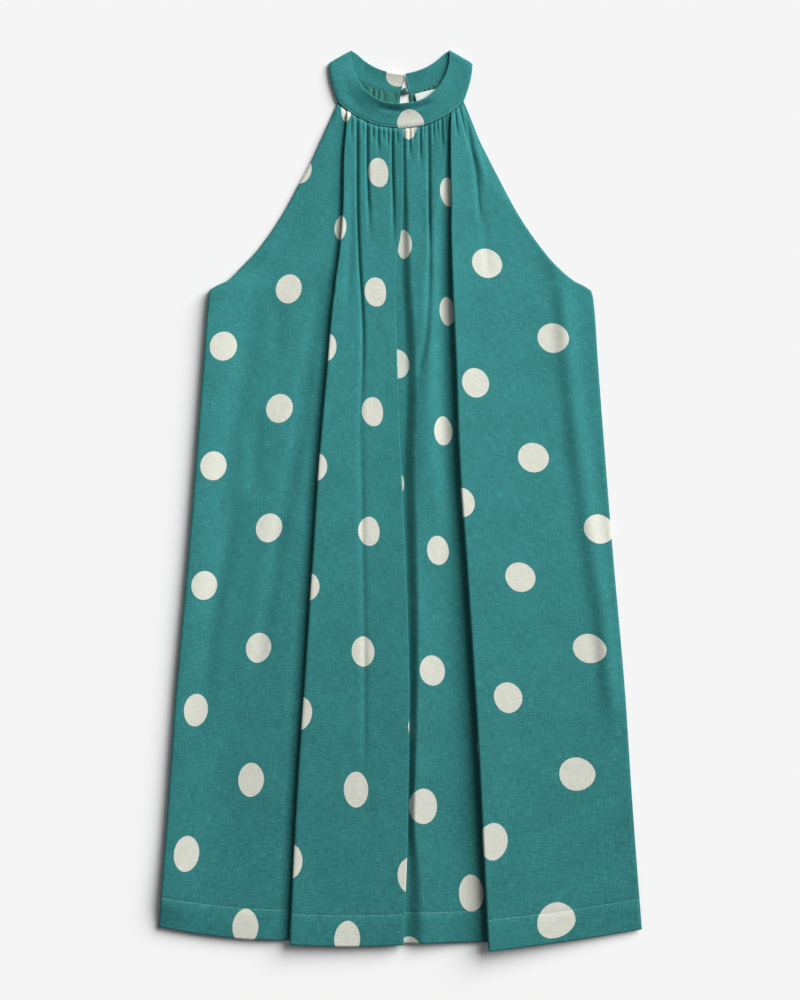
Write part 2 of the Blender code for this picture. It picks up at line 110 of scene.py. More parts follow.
# How deep each fold tucks under, how round its edge is and how far the cloth above it stands up.
FOLDS = table(
    "down left_tuck centre_tuck right_tuck small_roll large_roll small_lift large_lift",
    (54.5, 3.0, 3.0, 3.0, 0.95, 0.95, 0.0, 0.0),
    (93.5, 3.6, 3.6, 5.0, 1.05, 1.2, 0.6, 0.6),
    (142.5, 6.0, 6.0, 10.0, 1.3, 1.8, 1.3, 1.4),
    (208.0, 12.0, 9.5, 16.0, 1.6, 2.6, 1.6, 2.6),
    (262.0, 16.0, 14.0, 20.0, 1.8, 3.1, 1.8, 3.0),
    (423.5, 20.0, 16.0, 23.0, 2.0, 3.6, 1.9, 3.5),
    (913.0, 22.0, 20.0, 27.0, 2.1, 3.9, 1.9, 3.9),
)

# Beside each fold's raised edge the lower cloth lies flat for a way and then climbs out of the shadow.
# Low on the dress, by the right fold, its slope down to the floor takes the place of the climb.
TRENCHES = table(
    "down left_floor left_climb centre_floor centre_climb right_floor right_climb",
    (54.5, 0.3, 2.5, 0.3, 2.5, 0.3, 2.5),
    (93.5, 1.0, 4.5, 0.6, 4.0, 1.5, 5.0),
    (142.5, 1.5, 5.5, 0.8, 5.0, 5.0, 10.0),
    (175.0, 2.0, 6.0, 1.2, 7.0, 7.5, 15.0),
    (208.0, 3.0, 7.0, 5.0, 9.5, 8.0, 18.0),
    (262.0, 4.0, 9.0, 8.0, 11.0, 8.0, 20.0),
    (324.5, 4.0, 8.5, 9.0, 12.0, 8.0, 21.0),
    (371.0, 5.0, 9.0, 7.0, 12.5, 8.0, 21.0),
    (423.5, 6.0, 10.0, 2.4, 13.5, 8.0, 22.0),
    (534.5, 6.5, 10.0, 0.5, 12.5, 9.0, 22.0),
    (666.5, 8.0, 11.0, 0.2, 9.5, 10.0, 22.0),
    (792.5, 6.0, 10.0, 0.1, 7.5, 10.0, 22.0),
    (850.0, 6.5, 10.0, 1.2, 14.0, 9.0, 22.0),
    (913.0, 7.0, 10.0, 2.0, 19.0, 8.0, 22.0),
)
TUCK_TURN = 0.9
TURN_POINTS = 8
# A rolled edge's half width, for each millimetre of its half height: the centre one is pressed sharper.
ROLL_SHARPNESS = {1: 0.4, -1: 0.2}

# Crease lines that the mesh's columns follow: x of each at the guide levels.
GUIDE_LEVELS = (54.5, 90.0, 142.0, 208.0, 300.0, 423.0, 560.0, 700.0, 913.0)
BOX_GUIDES = [
    (-45.3, -45.3, -45.2, -43.5, -39.5, -43.0, -40.6, -40.0, -40.0),
    (-35.0, -34.9, -33.8, -31.7, -28.0, -28.0, -25.5, -23.4, -23.4),
    (-8.9, -8.8, -7.8, -8.0, -13.0, -12.0, -7.0, -4.0, -8.0),
]
VALLEY_GUIDES = [(28.1, 28.6, 29.1, 29.6, 27.4, 26.0, 26.0, 24.4, 20.3)]
# Columns between one line and the next, in each stretch of cloth.
COLUMNS = {"left": (62,), "box": (24, 13, 34, 17), "valley": (32, 40), "right": (84,)}
CROWDING = {"left": 0.11, "right": 0.08}  # how much nearer together they lie at a stretch's two ends

# Gathers at the neck seam: where each leaves the seam, how deep it cuts, how long and how wide it is.
GATHER_FIELDS = "x depth length half_width"
GATHERS = {
    "left": table(GATHER_FIELDS, (-68.5, 1.0, 30, 1.6)),
    "box": table(
        GATHER_FIELDS,
        (-50.8, 1.7, 28, 1.2), (-45.3, 4.2, 400, 1.6), (-39.6, 1.5, 18, 1.0), (-35.0, 3.8, 150, 1.5),
        (-28.7, 2.0, 20, 1.0), (-23.4, 2.6, 34, 1.2), (-18.3, 1.6, 17, 0.9), (-13.2, 2.3, 26, 1.0),
        (-8.9, 3.8, 160, 1.5), (-3.6, 1.7, 20, 1.0),
    ),
    "valley": table(
        GATHER_FIELDS,
        (9.6, 2.6, 38, 1.2), (13.8, 1.6, 17, 0.9), (20.2, 2.9, 48, 1.2), (24.6, 1.5, 18, 0.9),
        (28.4, 4.0, 235, 1.6), (34.1, 2.0, 23, 1.0), (38.2, 1.5, 17, 0.9), (42.8, 2.8, 36, 1.2),
        (47.0, 1.6, 22, 1.0),
    ),
    "right": table(
        GATHER_FIELDS,
        (56.4, 2.1, 30, 1.0), (60.2, 2.4, 46, 1.1), (63.6, 1.5, 20, 0.9),
    ),
}
GATHER_HOLD = 0.4  # share of a gather's length over which it keeps its depth
GATHER_LEAN = 0.25  # how much steeper a gather is on its left than on its right
GATHER_WIDENS = 0.9  # by this share of its width where it runs out
GATHER_HEIGHT = 2.5  # how far the cloth puffs up between the gathers
GATHERS_FADE = 150.0
PRESSED = 0.07  # share of the front's height left where it runs into the band's seam
PRESS_END = 3.6
SEAM_TUCK = 2.5  # the front runs on this far under the band

# Soft creases that cross the columns: where each runs, half width, depth (below 0 a ridge), end fade.
CREASE_FIELDS = "route half_width depth fade"
CREASES = table(
    CREASE_FIELDS,
    ([(59, 62.9), (77, 69.7), (99, 73.9), (118, 78.1), (145, 80.6), (178, 83)], 2.2, 2.2, 28),
    ([(140, 82), (190, 88), (250, 92)], 4.5, 0.8, 40),
    ([(60, 66.5), (77, 73.4), (99, 79.5), (118, 84.5), (150, 90)], 2.6, -1.2, 25),
    ([(220, -80), (281, -87), (343, -99), (406, -107.5), (489, -124), (584, -139),
      (670, -155)], 7.0, 2.7, 60),
    ([(250, -128), (330, -129.5)], 8.0, 1.6, 30),
    ([(335, -97), (415, -100.5)], 6.0, 1.8, 30),
    ([(370, -150), (465, -153.5)], 7.0, 1.8, 35),
    ([(455, -165), (468, -168), (568, -191), (710, -207)], 8.5, 2.0, 55),
    ([(190, -130), (225, -143)], 6.0, -0.8, 16),
    ([(218, 160), (330, 162.5)], 8.0, 0.9, 40),
    ([(320, 168.5), (465, 170.5)], 8.5, 0.8, 50),
    ([(555, 201), (680, 204.5)], 8.0, 0.9, 45),
    ([(205, 29.6), (270, 28.6), (300, 26.5), (324, 21), (350, 15.5)], 3.4, 2.2, 26),
    ([(90, 36), (220, 36.5), (300, 34), (350, 28), (410, 24), (520, 24)], 9.5, -1.8, 120),
    ([(225, -166), (241, -181), (262, -198.5), (324, -203.5), (423, -211), (534, -220),
      (666, -232), (913, -250)], 34.0, -6.4, 30),
    ([(380, -41.5), (520, -39.5), (640, -37.5), (760, -38)], 3.2, 1.3, 60),
    ([(240, -146), (280, -154), (411, -177), (530, -190), (649, -212), (738, -222)],
     13.0, 2.3, 60),
    ([(190, 143), (232, 164), (291, 171), (351, 177), (411, 185), (529, 201),
      (589, 210), (720, 224)], 10.5, -3.8, 60),
    ([(90, -51), (208, -53), (290, -57)], 4.5, 1.6, 60),
)

# Soft height of each stretch between its folds, reached some way below the neck.
CROWNS_FULL = 200.0
LEFT_CROWN = 2.0
LEFT_SIDE_RISE = 1.1  # the width over which the cloth rises from the left side edge
NECK_SAG = 1.2
BOX_SAG = 0.9
BOX_TILT = 3.2  # how much higher its left side lies than its right
VALLEY_CROWN = 7.3
VALLEY_UPPER = 0.9  # share of it on the upper part of the dress
VALLEY_UPPER_ENDS = (300.0, 430.0)
VALLEY_HEM_FALL = 0.15  # share of it lost towards the hem
VALLEY_FALLS = (560.0, 860.0)
VALLEY_SLOPES = (430.0, 580.0)  # over these levels its round top turns into a slope to the right fold
VALLEY_HOLLOW = 1.6  # above 1 the slope hangs hollow
RIGHT_SLOPE = 1.5  # the same, from the right fold down to the side
RIGHT_SIDE_RISE = 9.0  # and over which its gathers' puffs rise from the right one
UNEVENNESS = 0.35  # height of the slow waves that any length of laid linen has
SOFT_FLOOR = 0.35  # how gently the lowest cloth settles on the layer below
EDGE_DROP = 0.55  # the panels bend towards each other at their side seams
EDGE_WIDTH = 3.0

STRETCHES = ("left", "box", "valley", "right")
# The fold at the right end of a stretch: which it is, its size and the side of its upper cloth, 1 or -1.
TURNS = {"left": ("left", "small", 1), "box": ("centre", "small", -1), "valley": ("right", "large", 1)}
# How far the hem hangs below its level at the left end, in the middle and at the right end of a stretch.
HEM = {
    "left": (-1.5, 10.5, 12.5),
    "box": (16.5, 18.5, 17.0),
    "valley": (16.0, 15.2, 14.5),
    "right": (22.5, 13.5, 1.5),
}

# ---- back panel ----
BACK_TOP = table(
    "down left right",
    (24.0, -61.0, 61.5),
    (28.0, -61.0, 61.5),
    (36.0, -62.0, 62.0),
    (46.0, -63.0, 63.5),
    (51.0, -63.8, 64.2),
)
BACK_INSET = 0.8
BACK_ROWS_STRAIGHT = 150.0
BACK_GATHERS = 8
BACK_GATHER_POINTS = 8
BACK_GATHER_DEPTH = 1.6
BACK_GATHER_LENGTH = 27.0
BACK_GATHER_SHIFT = 0.3  # how unevenly they lie, as a share of a gather
BACK_GATHER_VARIES = 0.4  # and how much they differ in height
BACK_PRINT = (0.4, 0.3)  # place of the back panel in the print
BACK_HEM = 5.0
KEYHOLE_X = 4.6
KEYHOLE_TOP_HALF = 4.8
KEYHOLE_TOP = 45.0
KEYHOLE_HALF = 7.0
KEYHOLE_WIDEST = 68.0
KEYHOLE_END = 125.0
BACK_CREASES = table(
    CREASE_FIELDS,
    ([(150, -60), (330, -72)], 7.0, -0.45, 60),
    ([(240, 80), (520, 96)], 8.0, -0.45, 80),
    ([(420, -150), (700, -168)], 8.0, -0.4, 80),
    ([(330, 10), (760, 4)], 9.0, -0.45, 120),
    ([(560, 150), (800, 176)], 7.0, -0.4, 70),
)

# ---- neckband: the left half, from the centre back over the shoulder fold to the centre front ----
STRIP_FIELDS = "seam_x seam_down free_x free_down free_rise"
BAND_BACK = table(
    STRIP_FIELDS,
    (0.2, 45.2, 4.2, 26.0, 2.4),
    (-11.0, 44.0, -7.0, 24.8, 2.3),
    (-23.5, 41.0, -17.0, 22.4, 2.0),
    (-36.0, 36.3, -27.0, 18.5, 1.5),
    (-50.5, 29.0, -37.5, 12.0, 0.9),
    (-64.0, 21.5, -46.0, 4.6, 0.3),
    (-73.5, 15.4, -50.8, 1.4, 0.0),
)
BAND_FRONT = table(
    STRIP_FIELDS,
    (-74.6, 19.5, -51.5, 5.0, 0.0),
    (-73.0, 30.0, -50.8, 14.5, 0.6),
    (-69.5, 42.5, -47.0, 26.5, 1.7),
    (-65.0, 54.0, -42.5, 35.5, 3.0),
    (-54.5, 63.3, -35.5, 43.5, 4.0),
    (-41.0, 71.3, -26.5, 50.8, 5.0),
    (-23.5, 78.2, -15.0, 55.3, 5.7),
    (0.25, 81.5, 0.0, 57.2, 6.0),
)
SHOULDER = (-75.5, 13.8, -51.6, 0.0, 0.0)  # the same line at the top of the shoulder fold
BAND_STATIONS = 8  # mesh rows for each row of the tables
BAND_ACROSS = 18
BAND_CURL = 2.8
SEAM_SINKS = 0.45  # how far the front's seam edge is sewn down, and over which share of its width
SEAM_SINK_WIDTH = 0.08
LEFT_SETTLES = 3.4  # how far the front's free edge comes down on the back strip at the left shoulder
LEFT_SETTLED = (20.0, 46.0)
BAND_DENTS = table(
    "x across depth half_width half_across",
    (-9.0, 0.76, 2.6, 11.0, 0.11),
    (25.0, 0.78, 2.2, 8.0, 0.10),
    (-50.0, 0.45, 0.8, 8.0, 0.2),
)
RIGHT_BACK_START = 0.83
BAND_STITCH = 0.055  # place of the stitches across the band
BAND_PINCH = 0.45  # share of its thickness lost there and at the seam
PINCH_WIDTHS = (0.035, 0.05)
STITCHES_FROM = 52.0  # on the front they run between the armholes only
BAND_WIDTHS = (24.0, 28.0)  # of flat cloth, on the back and on the curled front
BAND_EDGE_POINTS = 5

# ---- print: dots on a half-drop repeat ----
DOT_RADIUS = 15.0
COLUMN_PITCH = 68.6
ROW_PITCH = 124.3
# Each column of the print on a stretch of the front: its number, its x at the print's levels and the share
# of the pitch that is left where the cloth is drawn in.
PRINT_LEVELS = (60.0, 185.0, 310.0, 435.0, 560.0, 685.0, 840.0, 930.0)
PRINT_STEPS = 13  # places that are worked out from one column to the next
PRINT_PAST = 3.0  # columns that go on past a stretch's last one at an even pitch
PRINT_COLUMNS = {
    "left": [
        (0, (-160.7, -173.2, -184.2, -194.8, -204.4, -212.9, -223.1, -228.3),
         (0.93, 0.93, 0.93, 0.88, 0.86, 0.80, 0.83, 0.83)),
        (1, (-98.8, -110.8, -121.0, -131.1, -143.0, -152.4, -159.1, -162.4),
         (0.90, 0.90, 0.90, 0.88, 0.82, 0.79, 0.83, 0.79)),
        (2, (-55.6, -56.8, -60.0, -66.0, -75.0, -83.0, -91.0, -94.0),
         (0.35,) + (0.85,) * 7),
    ],
    "box": [
        (2, (-57.2, -68.2, -78.0, -88.9, -97.2, -104.5, -116.0, -119.0),
         (0.35, 0.90, 0.80, 0.80, 0.78, 0.78, 0.85, 0.85)),
        (3, (-22.0, -23.8, -27.0, -29.6, -35.2, -42.2, -50.2, -57.1),
         (0.74, 0.92, 0.84, 0.74, 0.69, 0.72, 0.82, 0.90)),
        (4, (13.5, 4.6, 12.0, 14.0, 20.3, 21.3, 11.3, 4.7),
         (0.60, 0.46, 0.80, 0.80, 0.80, 0.77, 0.95, 0.95)),
    ],
    "valley": [
        (4, (7.6, 3.8, -3.3, -7.3, -16.0, -30.0, -47.0, -58.0),
         (0.56, 0.42, 0.90, 0.85, 0.80, 0.80, 0.80, 0.80)),
        (5, (49.0, 49.0, 47.6, 42.0, 37.0, 30.6, 18.5, 8.0),
         (0.42, 0.42, 0.42, 0.66, 0.80, 0.91, 1.00, 0.95)),
        (6, (106.6, 108.7, 106.6, 100.4, 94.1, 95.2, 76.4, 64.0),
         (0.90,) * 8),
    ],
    "right": [
        (6, (107.6, 92.6, 81.1, 67.6, 50.4, 34.8, 14.0, 1.6),
         (0.90, 1.03, 0.92, 0.93, 0.96, 0.96, 0.96, 0.96)),
        (7, (183.6, 175.2, 156.9, 136.2, 123.0, 110.2, 93.0, 82.7),
         (1.00, 1.00, 1.03, 1.08, 1.00, 0.88, 0.90, 0.90)),
        (8, (249.0, 244.8, 236.6, 212.2, 201.2, 190.3, 170.0, 150.3),
         (1.00, 1.00, 0.95, 0.95, 1.00, 1.10, 1.22, 1.27)),
        (9, (330.0, 325.0, 315.0, 300.0, 290.0, 285.0, 275.0, 268.0),
         (1.00,) * 8),
    ],
}
# How far down each column's first dot lies, on the upper part of the dress and near the hem.
FIRST_DOTS = table(
    "column upper lower",
    (0, 59.6, 59.6), (1, 62.0, 58.7), (2, 61.0, 67.0), (3, 65.5, 70.5), (4, 77.7, 82.0),
    (5, 85.3, 87.5), (6, 97.8, 101.0), (7, 113.2, 125.5), (8, 125.3, 128.5), (9, 138.0, 142.0),
)
# Rows of dots and their distance below the first one: the cloth is pulled long near the hem.
ROW_PLACES = table(
    "row down",
    (-2.0, -248.6), (4.5, 559.3), (5.0, 626.1), (5.5, 698.9), (6.0, 775.8), (6.5, 852.8), (7.5, 1006.0),
)
LOWER_ROWS = (4.5, 6.0)
BAND_FRONT_DOT = (11.4, 0.25)  # x of the dot on the front of the band, and its place across it
BAND_BACK_DOT = (-5.7, 1.0)
BAND_RIGHT_BACK_ROW = 0.25  # place of the right back strip in the print
BAND_SHIFT = 0.3  # how far the print moves across the band near its left shoulder
BAND_SHIFTS = (85.0, 108.0)

# ---- stitches, closure and label ----
# A row of stitches: its pitch, the share of it that shows as thread and the thread's radius.
HEM_STITCHES = (3.0, 0.78, 0.22)
BAND_FRONT_STITCHES = (2.5, 0.74, 0.34)
BAND_BACK_STITCHES = (2.6, 0.72, 0.22)
STITCH_SIDES = 6
STITCH_SINKS = 0.25  # how far a stitch's ends go down, as a share of its radius
BUTTON_PROFILE = [(0, 3.9), (1.2, 3.86), (2.2, 3.72), (2.9, 3.42), (3.15, 3.18), (3.4, 3.14), (3.5, 2.9)]
BUTTON_PROFILE += [(3.46, 2.6), (3.2, 2.25), (2.2, 2.05), (1.2, 2.0), (1.05, 1.2), (1.2, 0.3), (0, 0.3)]
BUTTON_STEPS = 48
BUTTON_WELD = 0.01  # joins the profile's points on the axis
LOOP_WIRE = 0.6
LOOP_RADIUS = 2.1
LOOP_LEVEL = 1.1
LOOP_SHORTER = 0.6  # how much shorter its lower end is
LABEL_LENGTH = 25.0
LABEL_WIDTH = 12.0
LABEL_CORNER = (14.6, 45.6)
LABEL_TURN = 0.24
LABEL_LEVEL = 3.45
LABEL_WAVES = (0.125, 0.05)
LABEL_ENDS_DROP = 0.175
LABEL_ENDS = (0.6, 1.6)
LABEL_STEPS = (36, 14)
LABEL_WALL = 0.5

# ---- light and camera ----
WORLD_LIGHT = 0.17
KEY_PLACE = (2.25, 1.95, 2.1)
KEY_WIDTH = 0.85
KEY_STRENGTH = 4.61
FLOOR_HALF = 4.0
PIXEL = 1.04 * MM  # what one pixel of the 800 by 1000 picture covers
PICTURE_HEIGHT = 1000
CAMERA_HEIGHT = 3.0
CAMERA_CENTRE = (-0.00027, -0.00025)
SENSOR = 36.0
REFERENCE_HEIGHT = 0.005  # the pixel's size is true at this height

# ---- colours and cloth ----
TEAL = (0.030, 0.208, 0.208)
FLECK_TEAL = (0.11, 0.40, 0.40)
INSIDE_TEAL = (0.035, 0.175, 0.140)
CREAM = (0.665, 0.680, 0.597)
THREAD = (0.27, 0.52, 0.50)
BUTTON_TEAL = (0.030, 0.120, 0.115)
LABEL_WHITE = (0.80, 0.83, 0.82)
FLOOR = (0.90, 0.90, 0.90)
SLUB_LEVELS = (0.3, 0.7, -0.5, 0.5)  # the noise's range and what becomes of it
WARP_LENGTH = 0.12  # how little the noise changes along a warp slub, and a weft slub
WEFT_LENGTH = 0.14
SLUB_TONE = 0.20
DOT_SLUB_TONE = 0.07
CLOUD_LEVELS = (0.3, 0.7, 0.95, 1.05)
FLECK_LEVELS = (0.33, 0.50)
FLECK_SHARE = 0.22
HEM_SHADE_LEVELS = (1.0, 7.0, 1.07, 0.78)  # painted shade: the tone falls from the print's row 1 to its row 7, darker towards the hem
DOT_HEM_SHADE_LEVELS = (0.80, 1.06, 0.85, 1.0)  # the same painted shade on the dots, from the cloth's tone to the dots'
WEAVE_BUMP = (0.5, 0.00012)  # strength and distance
CRUMPLE_BUMP = (0.5, 0.0012)
THREAD_PITCH = 0.9
GRAIN_LEVELS = (0.3, 0.7, 0.88, 1.1)
GRAIN_BUMP = 0.4
DOT_SOFTNESS = 0.25
DOT_UNEVENNESS = 0.9


# ---- sums ----

def smooth(value, start, end):
    """0 before the start, 1 after the end and an S curve between them."""
    t = np.clip((value - start) / (end - start), 0.0, 1.0)
    return t * t * (3 - 2 * t)


def bell(value, width):
    """1 at 0, falling away on both sides of it."""
    return np.exp(-((value / width) ** 2))


def hermite(start, end, leave, arrive, t):
    """A curve from start to end; leave and arrive are its changes for t from 0 to 1 at the two ends."""
    rise = t * t * (3 - 2 * t)
    return start + (end - start) * rise + leave * t * (1 - t) ** 2 - arrive * t * t * (1 - t)


def through(places, values, at):
    """A smooth curve through the values that never overshoots, read at any place; straight past its ends."""
    places, values, at = (np.asarray(a, float) for a in (places, values, at))
    step = np.diff(places)
    secant = np.diff(values) / step
    before, after = secant[:-1], secant[1:]
    same_way = before * after > 0
    between = np.where(same_way, 2 * before * after / np.where(same_way, before + after, 1.0), 0.0)
    slope = np.concatenate([secant[:1], between, secant[-1:]])
    i = np.clip(np.searchsorted(places, at, "right") - 1, 0, len(step) - 1)
    t = (at - places[i]) / step[i]
    inside = np.clip(t, 0.0, 1.0)
    leave, arrive = slope[i] * step[i], slope[i + 1] * step[i]
    past = np.minimum(t, 0) * leave + np.maximum(t - 1, 0) * arrive
    return hermite(values[i], values[i + 1], leave, arrive, inside) + past


def read_table(rows, at):
    """A table's other columns by name, each read smoothly at places along its first column."""
    places, *columns = zip(*rows)
    return {name: through(places, column, at) for name, column in zip(rows[0]._fields[1:], columns)}


def run_along(path):
    """The way from a path's first point to each of its points."""
    return np.concatenate([[0], np.cumsum(np.linalg.norm(np.diff(path, axis=0), axis=1))])


def metres(x, down, z):
    """Places in the tables' millimetres as points in metres, which are the last axis."""
    x, down, z = np.broadcast_arrays(x, down, z)
    return np.stack([x - MIDDLE_X, MIDDLE_DOWN - down, z], axis=-1) * MM


def crease_height(creases, x, down):
    """What soft creases add to the cloth's height."""
    height = np.zeros(np.broadcast(x, down).shape)
    for crease in creases:
        route_down, route_x = zip(*crease.route)
        middle = through(route_down, route_x, down)
        grown = smooth(down, route_down[0], route_down[0] + crease.fade)
        faded = 1 - smooth(down, route_down[-1] - crease.fade, route_down[-1])
        height -= crease.depth * grown * faded * bell(x - middle, crease.half_width)
    return height


def undulation(x, down, height):
    """Four slow waves, which add up to 3.1 at most."""
    waves = np.sin(x / 17.0 + down / 83.0) + np.sin(x / 29.0 - down / 47.0 + 1.3)
    waves += np.sin(x / 11.0 + down / 131.0 + 2.1) * 0.6 + np.sin(down / 23.0 + x / 61.0) * 0.5
    return height * waves / 3.1


# ---- objects ----

def vertex_grid(shape, ring=False):
    """Vertex numbers of a grid of points. In a ring the first column comes again after the last one."""
    index = np.arange(shape[0] * shape[1]).reshape(shape[:2])
    return np.hstack([index, index[:, :1]]) if ring else index


def grid_faces(index, skip=()):
    """Four-sided faces between the rows and columns of a grid of vertex numbers."""
    kept = [k for k in range(index.shape[1] - 1) if k not in skip]
    upper, lower = index[:-1], index[1:]
    corners = [upper[:, kept], lower[:, kept], lower[:, 1:][:, kept], upper[:, 1:][:, kept]]
    return np.stack(corners, axis=-1).reshape(-1, 4).tolist()


def add_object(name, data):
    obj = bpy.data.objects.new(name, data)
    bpy.context.scene.collection.objects.link(obj)
    return obj


def make_mesh(name, points, faces, materials, fabric=None):
    """An object of points and faces, with each point's place in the flat cloth."""
    mesh = bpy.data.meshes.new(name)
    mesh.from_pydata(points.reshape(-1, 3).tolist(), [], faces)
    if fabric is not None:
        layer = mesh.uv_layers.new(name="fabric")
        layer.data.foreach_set("uv", fabric.reshape(-1, 2)[np.concatenate(faces)].ravel())
    for look in materials:
        mesh.materials.append(look)
    mesh.shade_smooth()
    return add_object(name, mesh)


def sheet_object(name, points, fabric, materials, wall, skip=()):
    """A sheet through the middle of its wall. A second material goes on its lower side."""
    obj = make_mesh(name, points, grid_faces(vertex_grid(points.shape), skip), materials, fabric)
    solid = obj.modifiers.new("Cloth", "SOLIDIFY")
    solid.thickness = wall * MM
    solid.offset = 0
    solid.material_offset = len(materials) - 1
    return obj


def stands_for(obj, slot, *nodes):
    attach(obj, "root")
    if nodes:
        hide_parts(*nodes)
    return obj


def stitches(name, path, pitch, share, radius):
    """A row of thread stitches along a path of points in metres, as one mesh of small spindles."""
    run = run_along(path)
    along = np.array([0.0, 0.14, 0.5, 0.86, 1.0])
    width = np.array([0.0, 0.8, 1.0, 0.8, 0.0])
    ring = np.arange(STITCH_SIDES) * 2 * pi / STITCH_SIDES
    index = vertex_grid((len(along), STITCH_SIDES), ring=True)
    points, faces = [], []
    for k in range(int(run[-1] / (pitch * MM))):
        start = (k + 0.5 - share / 2) * pitch * MM
        places = start + along * share * pitch * MM
        centre = np.stack([np.interp(places, run, path[:, axis]) for axis in range(3)], axis=1)
        ahead = Vector(centre[-1] - centre[0]).normalized()
        aside = ahead.cross(Vector((0, 0, 1))).normalized()
        above = aside.cross(ahead)
        centre += np.outer(np.sin(along * pi) - 1, above) * STITCH_SINKS * radius * MM
        spread = np.cos(ring)[:, None] * np.array(aside) + np.sin(ring)[:, None] * np.array(above)
        points.append((centre[:, None] + width[:, None, None] * spread * radius * MM).reshape(-1, 3))
        faces += grid_faces((index + k * len(along) * STITCH_SIDES).T)
    return stands_for(make_mesh(name, np.concatenate(points), faces, [thread]), "dotted_linen")


# ---- materials ----

class Look:
    """A Principled material with short calls for its nodes."""

    def __init__(self, name, roughness, colour=None, sheen=0.0, specular=0.5):
        self.material = bpy.data.materials.new(name)
        self.material.use_nodes = True
        self.tree = self.material.node_tree
        self.shader = self.tree.nodes["Principled BSDF"]
        self.shader.inputs["Roughness"].default_value = roughness
        self.shader.inputs["Sheen Weight"].default_value = sheen
        self.shader.inputs["Specular IOR Level"].default_value = specular
        if colour:
            self.shader.inputs["Base Color"].default_value = (*colour, 1)

    def put(self, socket, value):
        if isinstance(value, bpy.types.NodeSocket):
            self.tree.links.new(value, socket)
        else:
            socket.default_value = value

    def node(self, kind, inputs, output=0, **settings):
        made = self.tree.nodes.new("ShaderNode" + kind)
        for key, value in settings.items():
            setattr(made, key, value)
        for key, value in inputs.items():
            self.put(made.inputs[key], value)
        return made.outputs[output]

    def math(self, operation, *values):
        return self.node("Math", dict(enumerate(values)), operation=operation)

    def plus(self, *values):
        return self.math("ADD", *values)

    def times(self, *values):
        return self.math("MULTIPLY", *values)

    def vector(self, *values):
        return self.node("CombineXYZ", dict(enumerate(values)))

    def blend(self, share, first, second, kind="MIX"):
        inputs = {0: share, 6: first, 7: second}  # the node's own numbers of its colour sockets
        return self.node("Mix", inputs, output=2, data_type="RGBA", blend_type=kind)

    def shaded(self, colour, tone):
        return self.blend(1.0, colour, self.vector(tone, tone, tone), "MULTIPLY")

    def noise(self, vector, scale, detail=2.0):
        inputs = {"Vector": vector, "Scale": scale, "Detail": detail}
        return self.node("TexNoise", inputs, noise_dimensions="3D")

    def level(self, value, low, high, new_low=0.0, new_high=1.0):
        inputs = {0: value, 1: low, 2: high, 3: new_low, 4: new_high}
        return self.node("MapRange", inputs, interpolation_type="SMOOTHSTEP")

    def bump(self, strength, distance, height, **below):
        inputs = {"Strength": strength, "Distance": distance, "Height": height, **below}
        return self.node("Bump", inputs)

    def finished(self, colour, normal):
        self.put(self.shader.inputs["Base Color"], colour)
        self.put(self.shader.inputs["Normal"], normal)
        return self.material


def dot_mask(look, column, row, flat):
    """1 inside the dots, whose edges are slightly uneven, and 0 between them."""
    distances = []
    for moved_column, moved_row in ((column, row), (look.plus(column, 1.0), look.plus(row, 0.5))):
        x = look.times(look.math("WRAP", moved_column, 1.0, -1.0), COLUMN_PITCH)
        y = look.times(look.math("WRAP", moved_row, 0.5, -0.5), ROW_PITCH)
        distances.append(look.math("SQRT", look.plus(look.times(x, x), look.times(y, y))))
    edge = look.times(look.math("SUBTRACT", look.noise(flat, 0.9), 0.5), DOT_UNEVENNESS)
    from_centre = look.plus(look.math("MINIMUM", *distances), edge)
    return look.level(from_centre, DOT_RADIUS + DOT_SOFTNESS, DOT_RADIUS - DOT_SOFTNESS)


def linen(name, colour, dots):
    """Plain-weave linen in fabric coordinates: slubs both ways, pale flecks, where asked cream dots, and
    painted shade that darkens it towards the hem.
    """
    look = Look(name, 0.86, sheen=0.05, specular=0.2)
    plus, times, level = look.plus, look.times, look.level
    column = look.node("SeparateXYZ", {0: look.node("UVMap", {}, uv_map="fabric")})
    row = column.node.outputs[1]
    across, along = times(column, COLUMN_PITCH), times(row, ROW_PITCH)
    flat = look.vector(across, along)
    warp = look.noise(look.vector(across, times(along, WARP_LENGTH)), 0.9)
    weft = look.noise(look.vector(times(across, WEFT_LENGTH), along), 0.8)
    slubs = plus(level(warp, *SLUB_LEVELS), level(weft, *SLUB_LEVELS))
    clouds = level(look.noise(flat, 0.03, 3.0), *CLOUD_LEVELS)
    # painted shade: depth darkens the cloth towards the hem, as though less light reached it there
    depth = level(row, *HEM_SHADE_LEVELS)
    flecks = times(level(times(warp, weft), *FLECK_LEVELS), FLECK_SHARE)
    teal = look.blend(flecks, (*colour, 1), (*FLECK_TEAL, 1))
    teal = look.shaded(teal, plus(times(slubs, SLUB_TONE), times(clouds, depth)))
    if dots:
        # the dots take the same painted shade towards the hem
        tone = plus(times(slubs, DOT_SLUB_TONE), level(depth, *DOT_HEM_SHADE_LEVELS))
        teal = look.blend(dot_mask(look, column, row, flat), teal, look.shaded((*CREAM, 1), tone))
    threads = [look.math("SINE", times(way, 2 * pi / THREAD_PITCH)) for way in (across, along)]
    fine = look.bump(*WEAVE_BUMP, plus(times(times(*threads), 0.25), times(slubs, 0.75)))
    crumpled = look.bump(*CRUMPLE_BUMP, look.noise(flat, 0.055, 3.0), Normal=fine)
    return look.finished(teal, crumpled)


def plain(name, colour, roughness, grain, depth, **settings):
    """A single-coloured finish with a fine grain in its tone and surface."""
    look = Look(name, roughness, **settings)
    noise = look.noise(look.node("TexCoord", {}, output=3), grain, 3.0)
    tone = look.level(noise, *GRAIN_LEVELS)
    return look.finished(look.shaded((*colour, 1), tone), look.bump(GRAIN_BUMP, depth, noise))


# ---- front panel ----

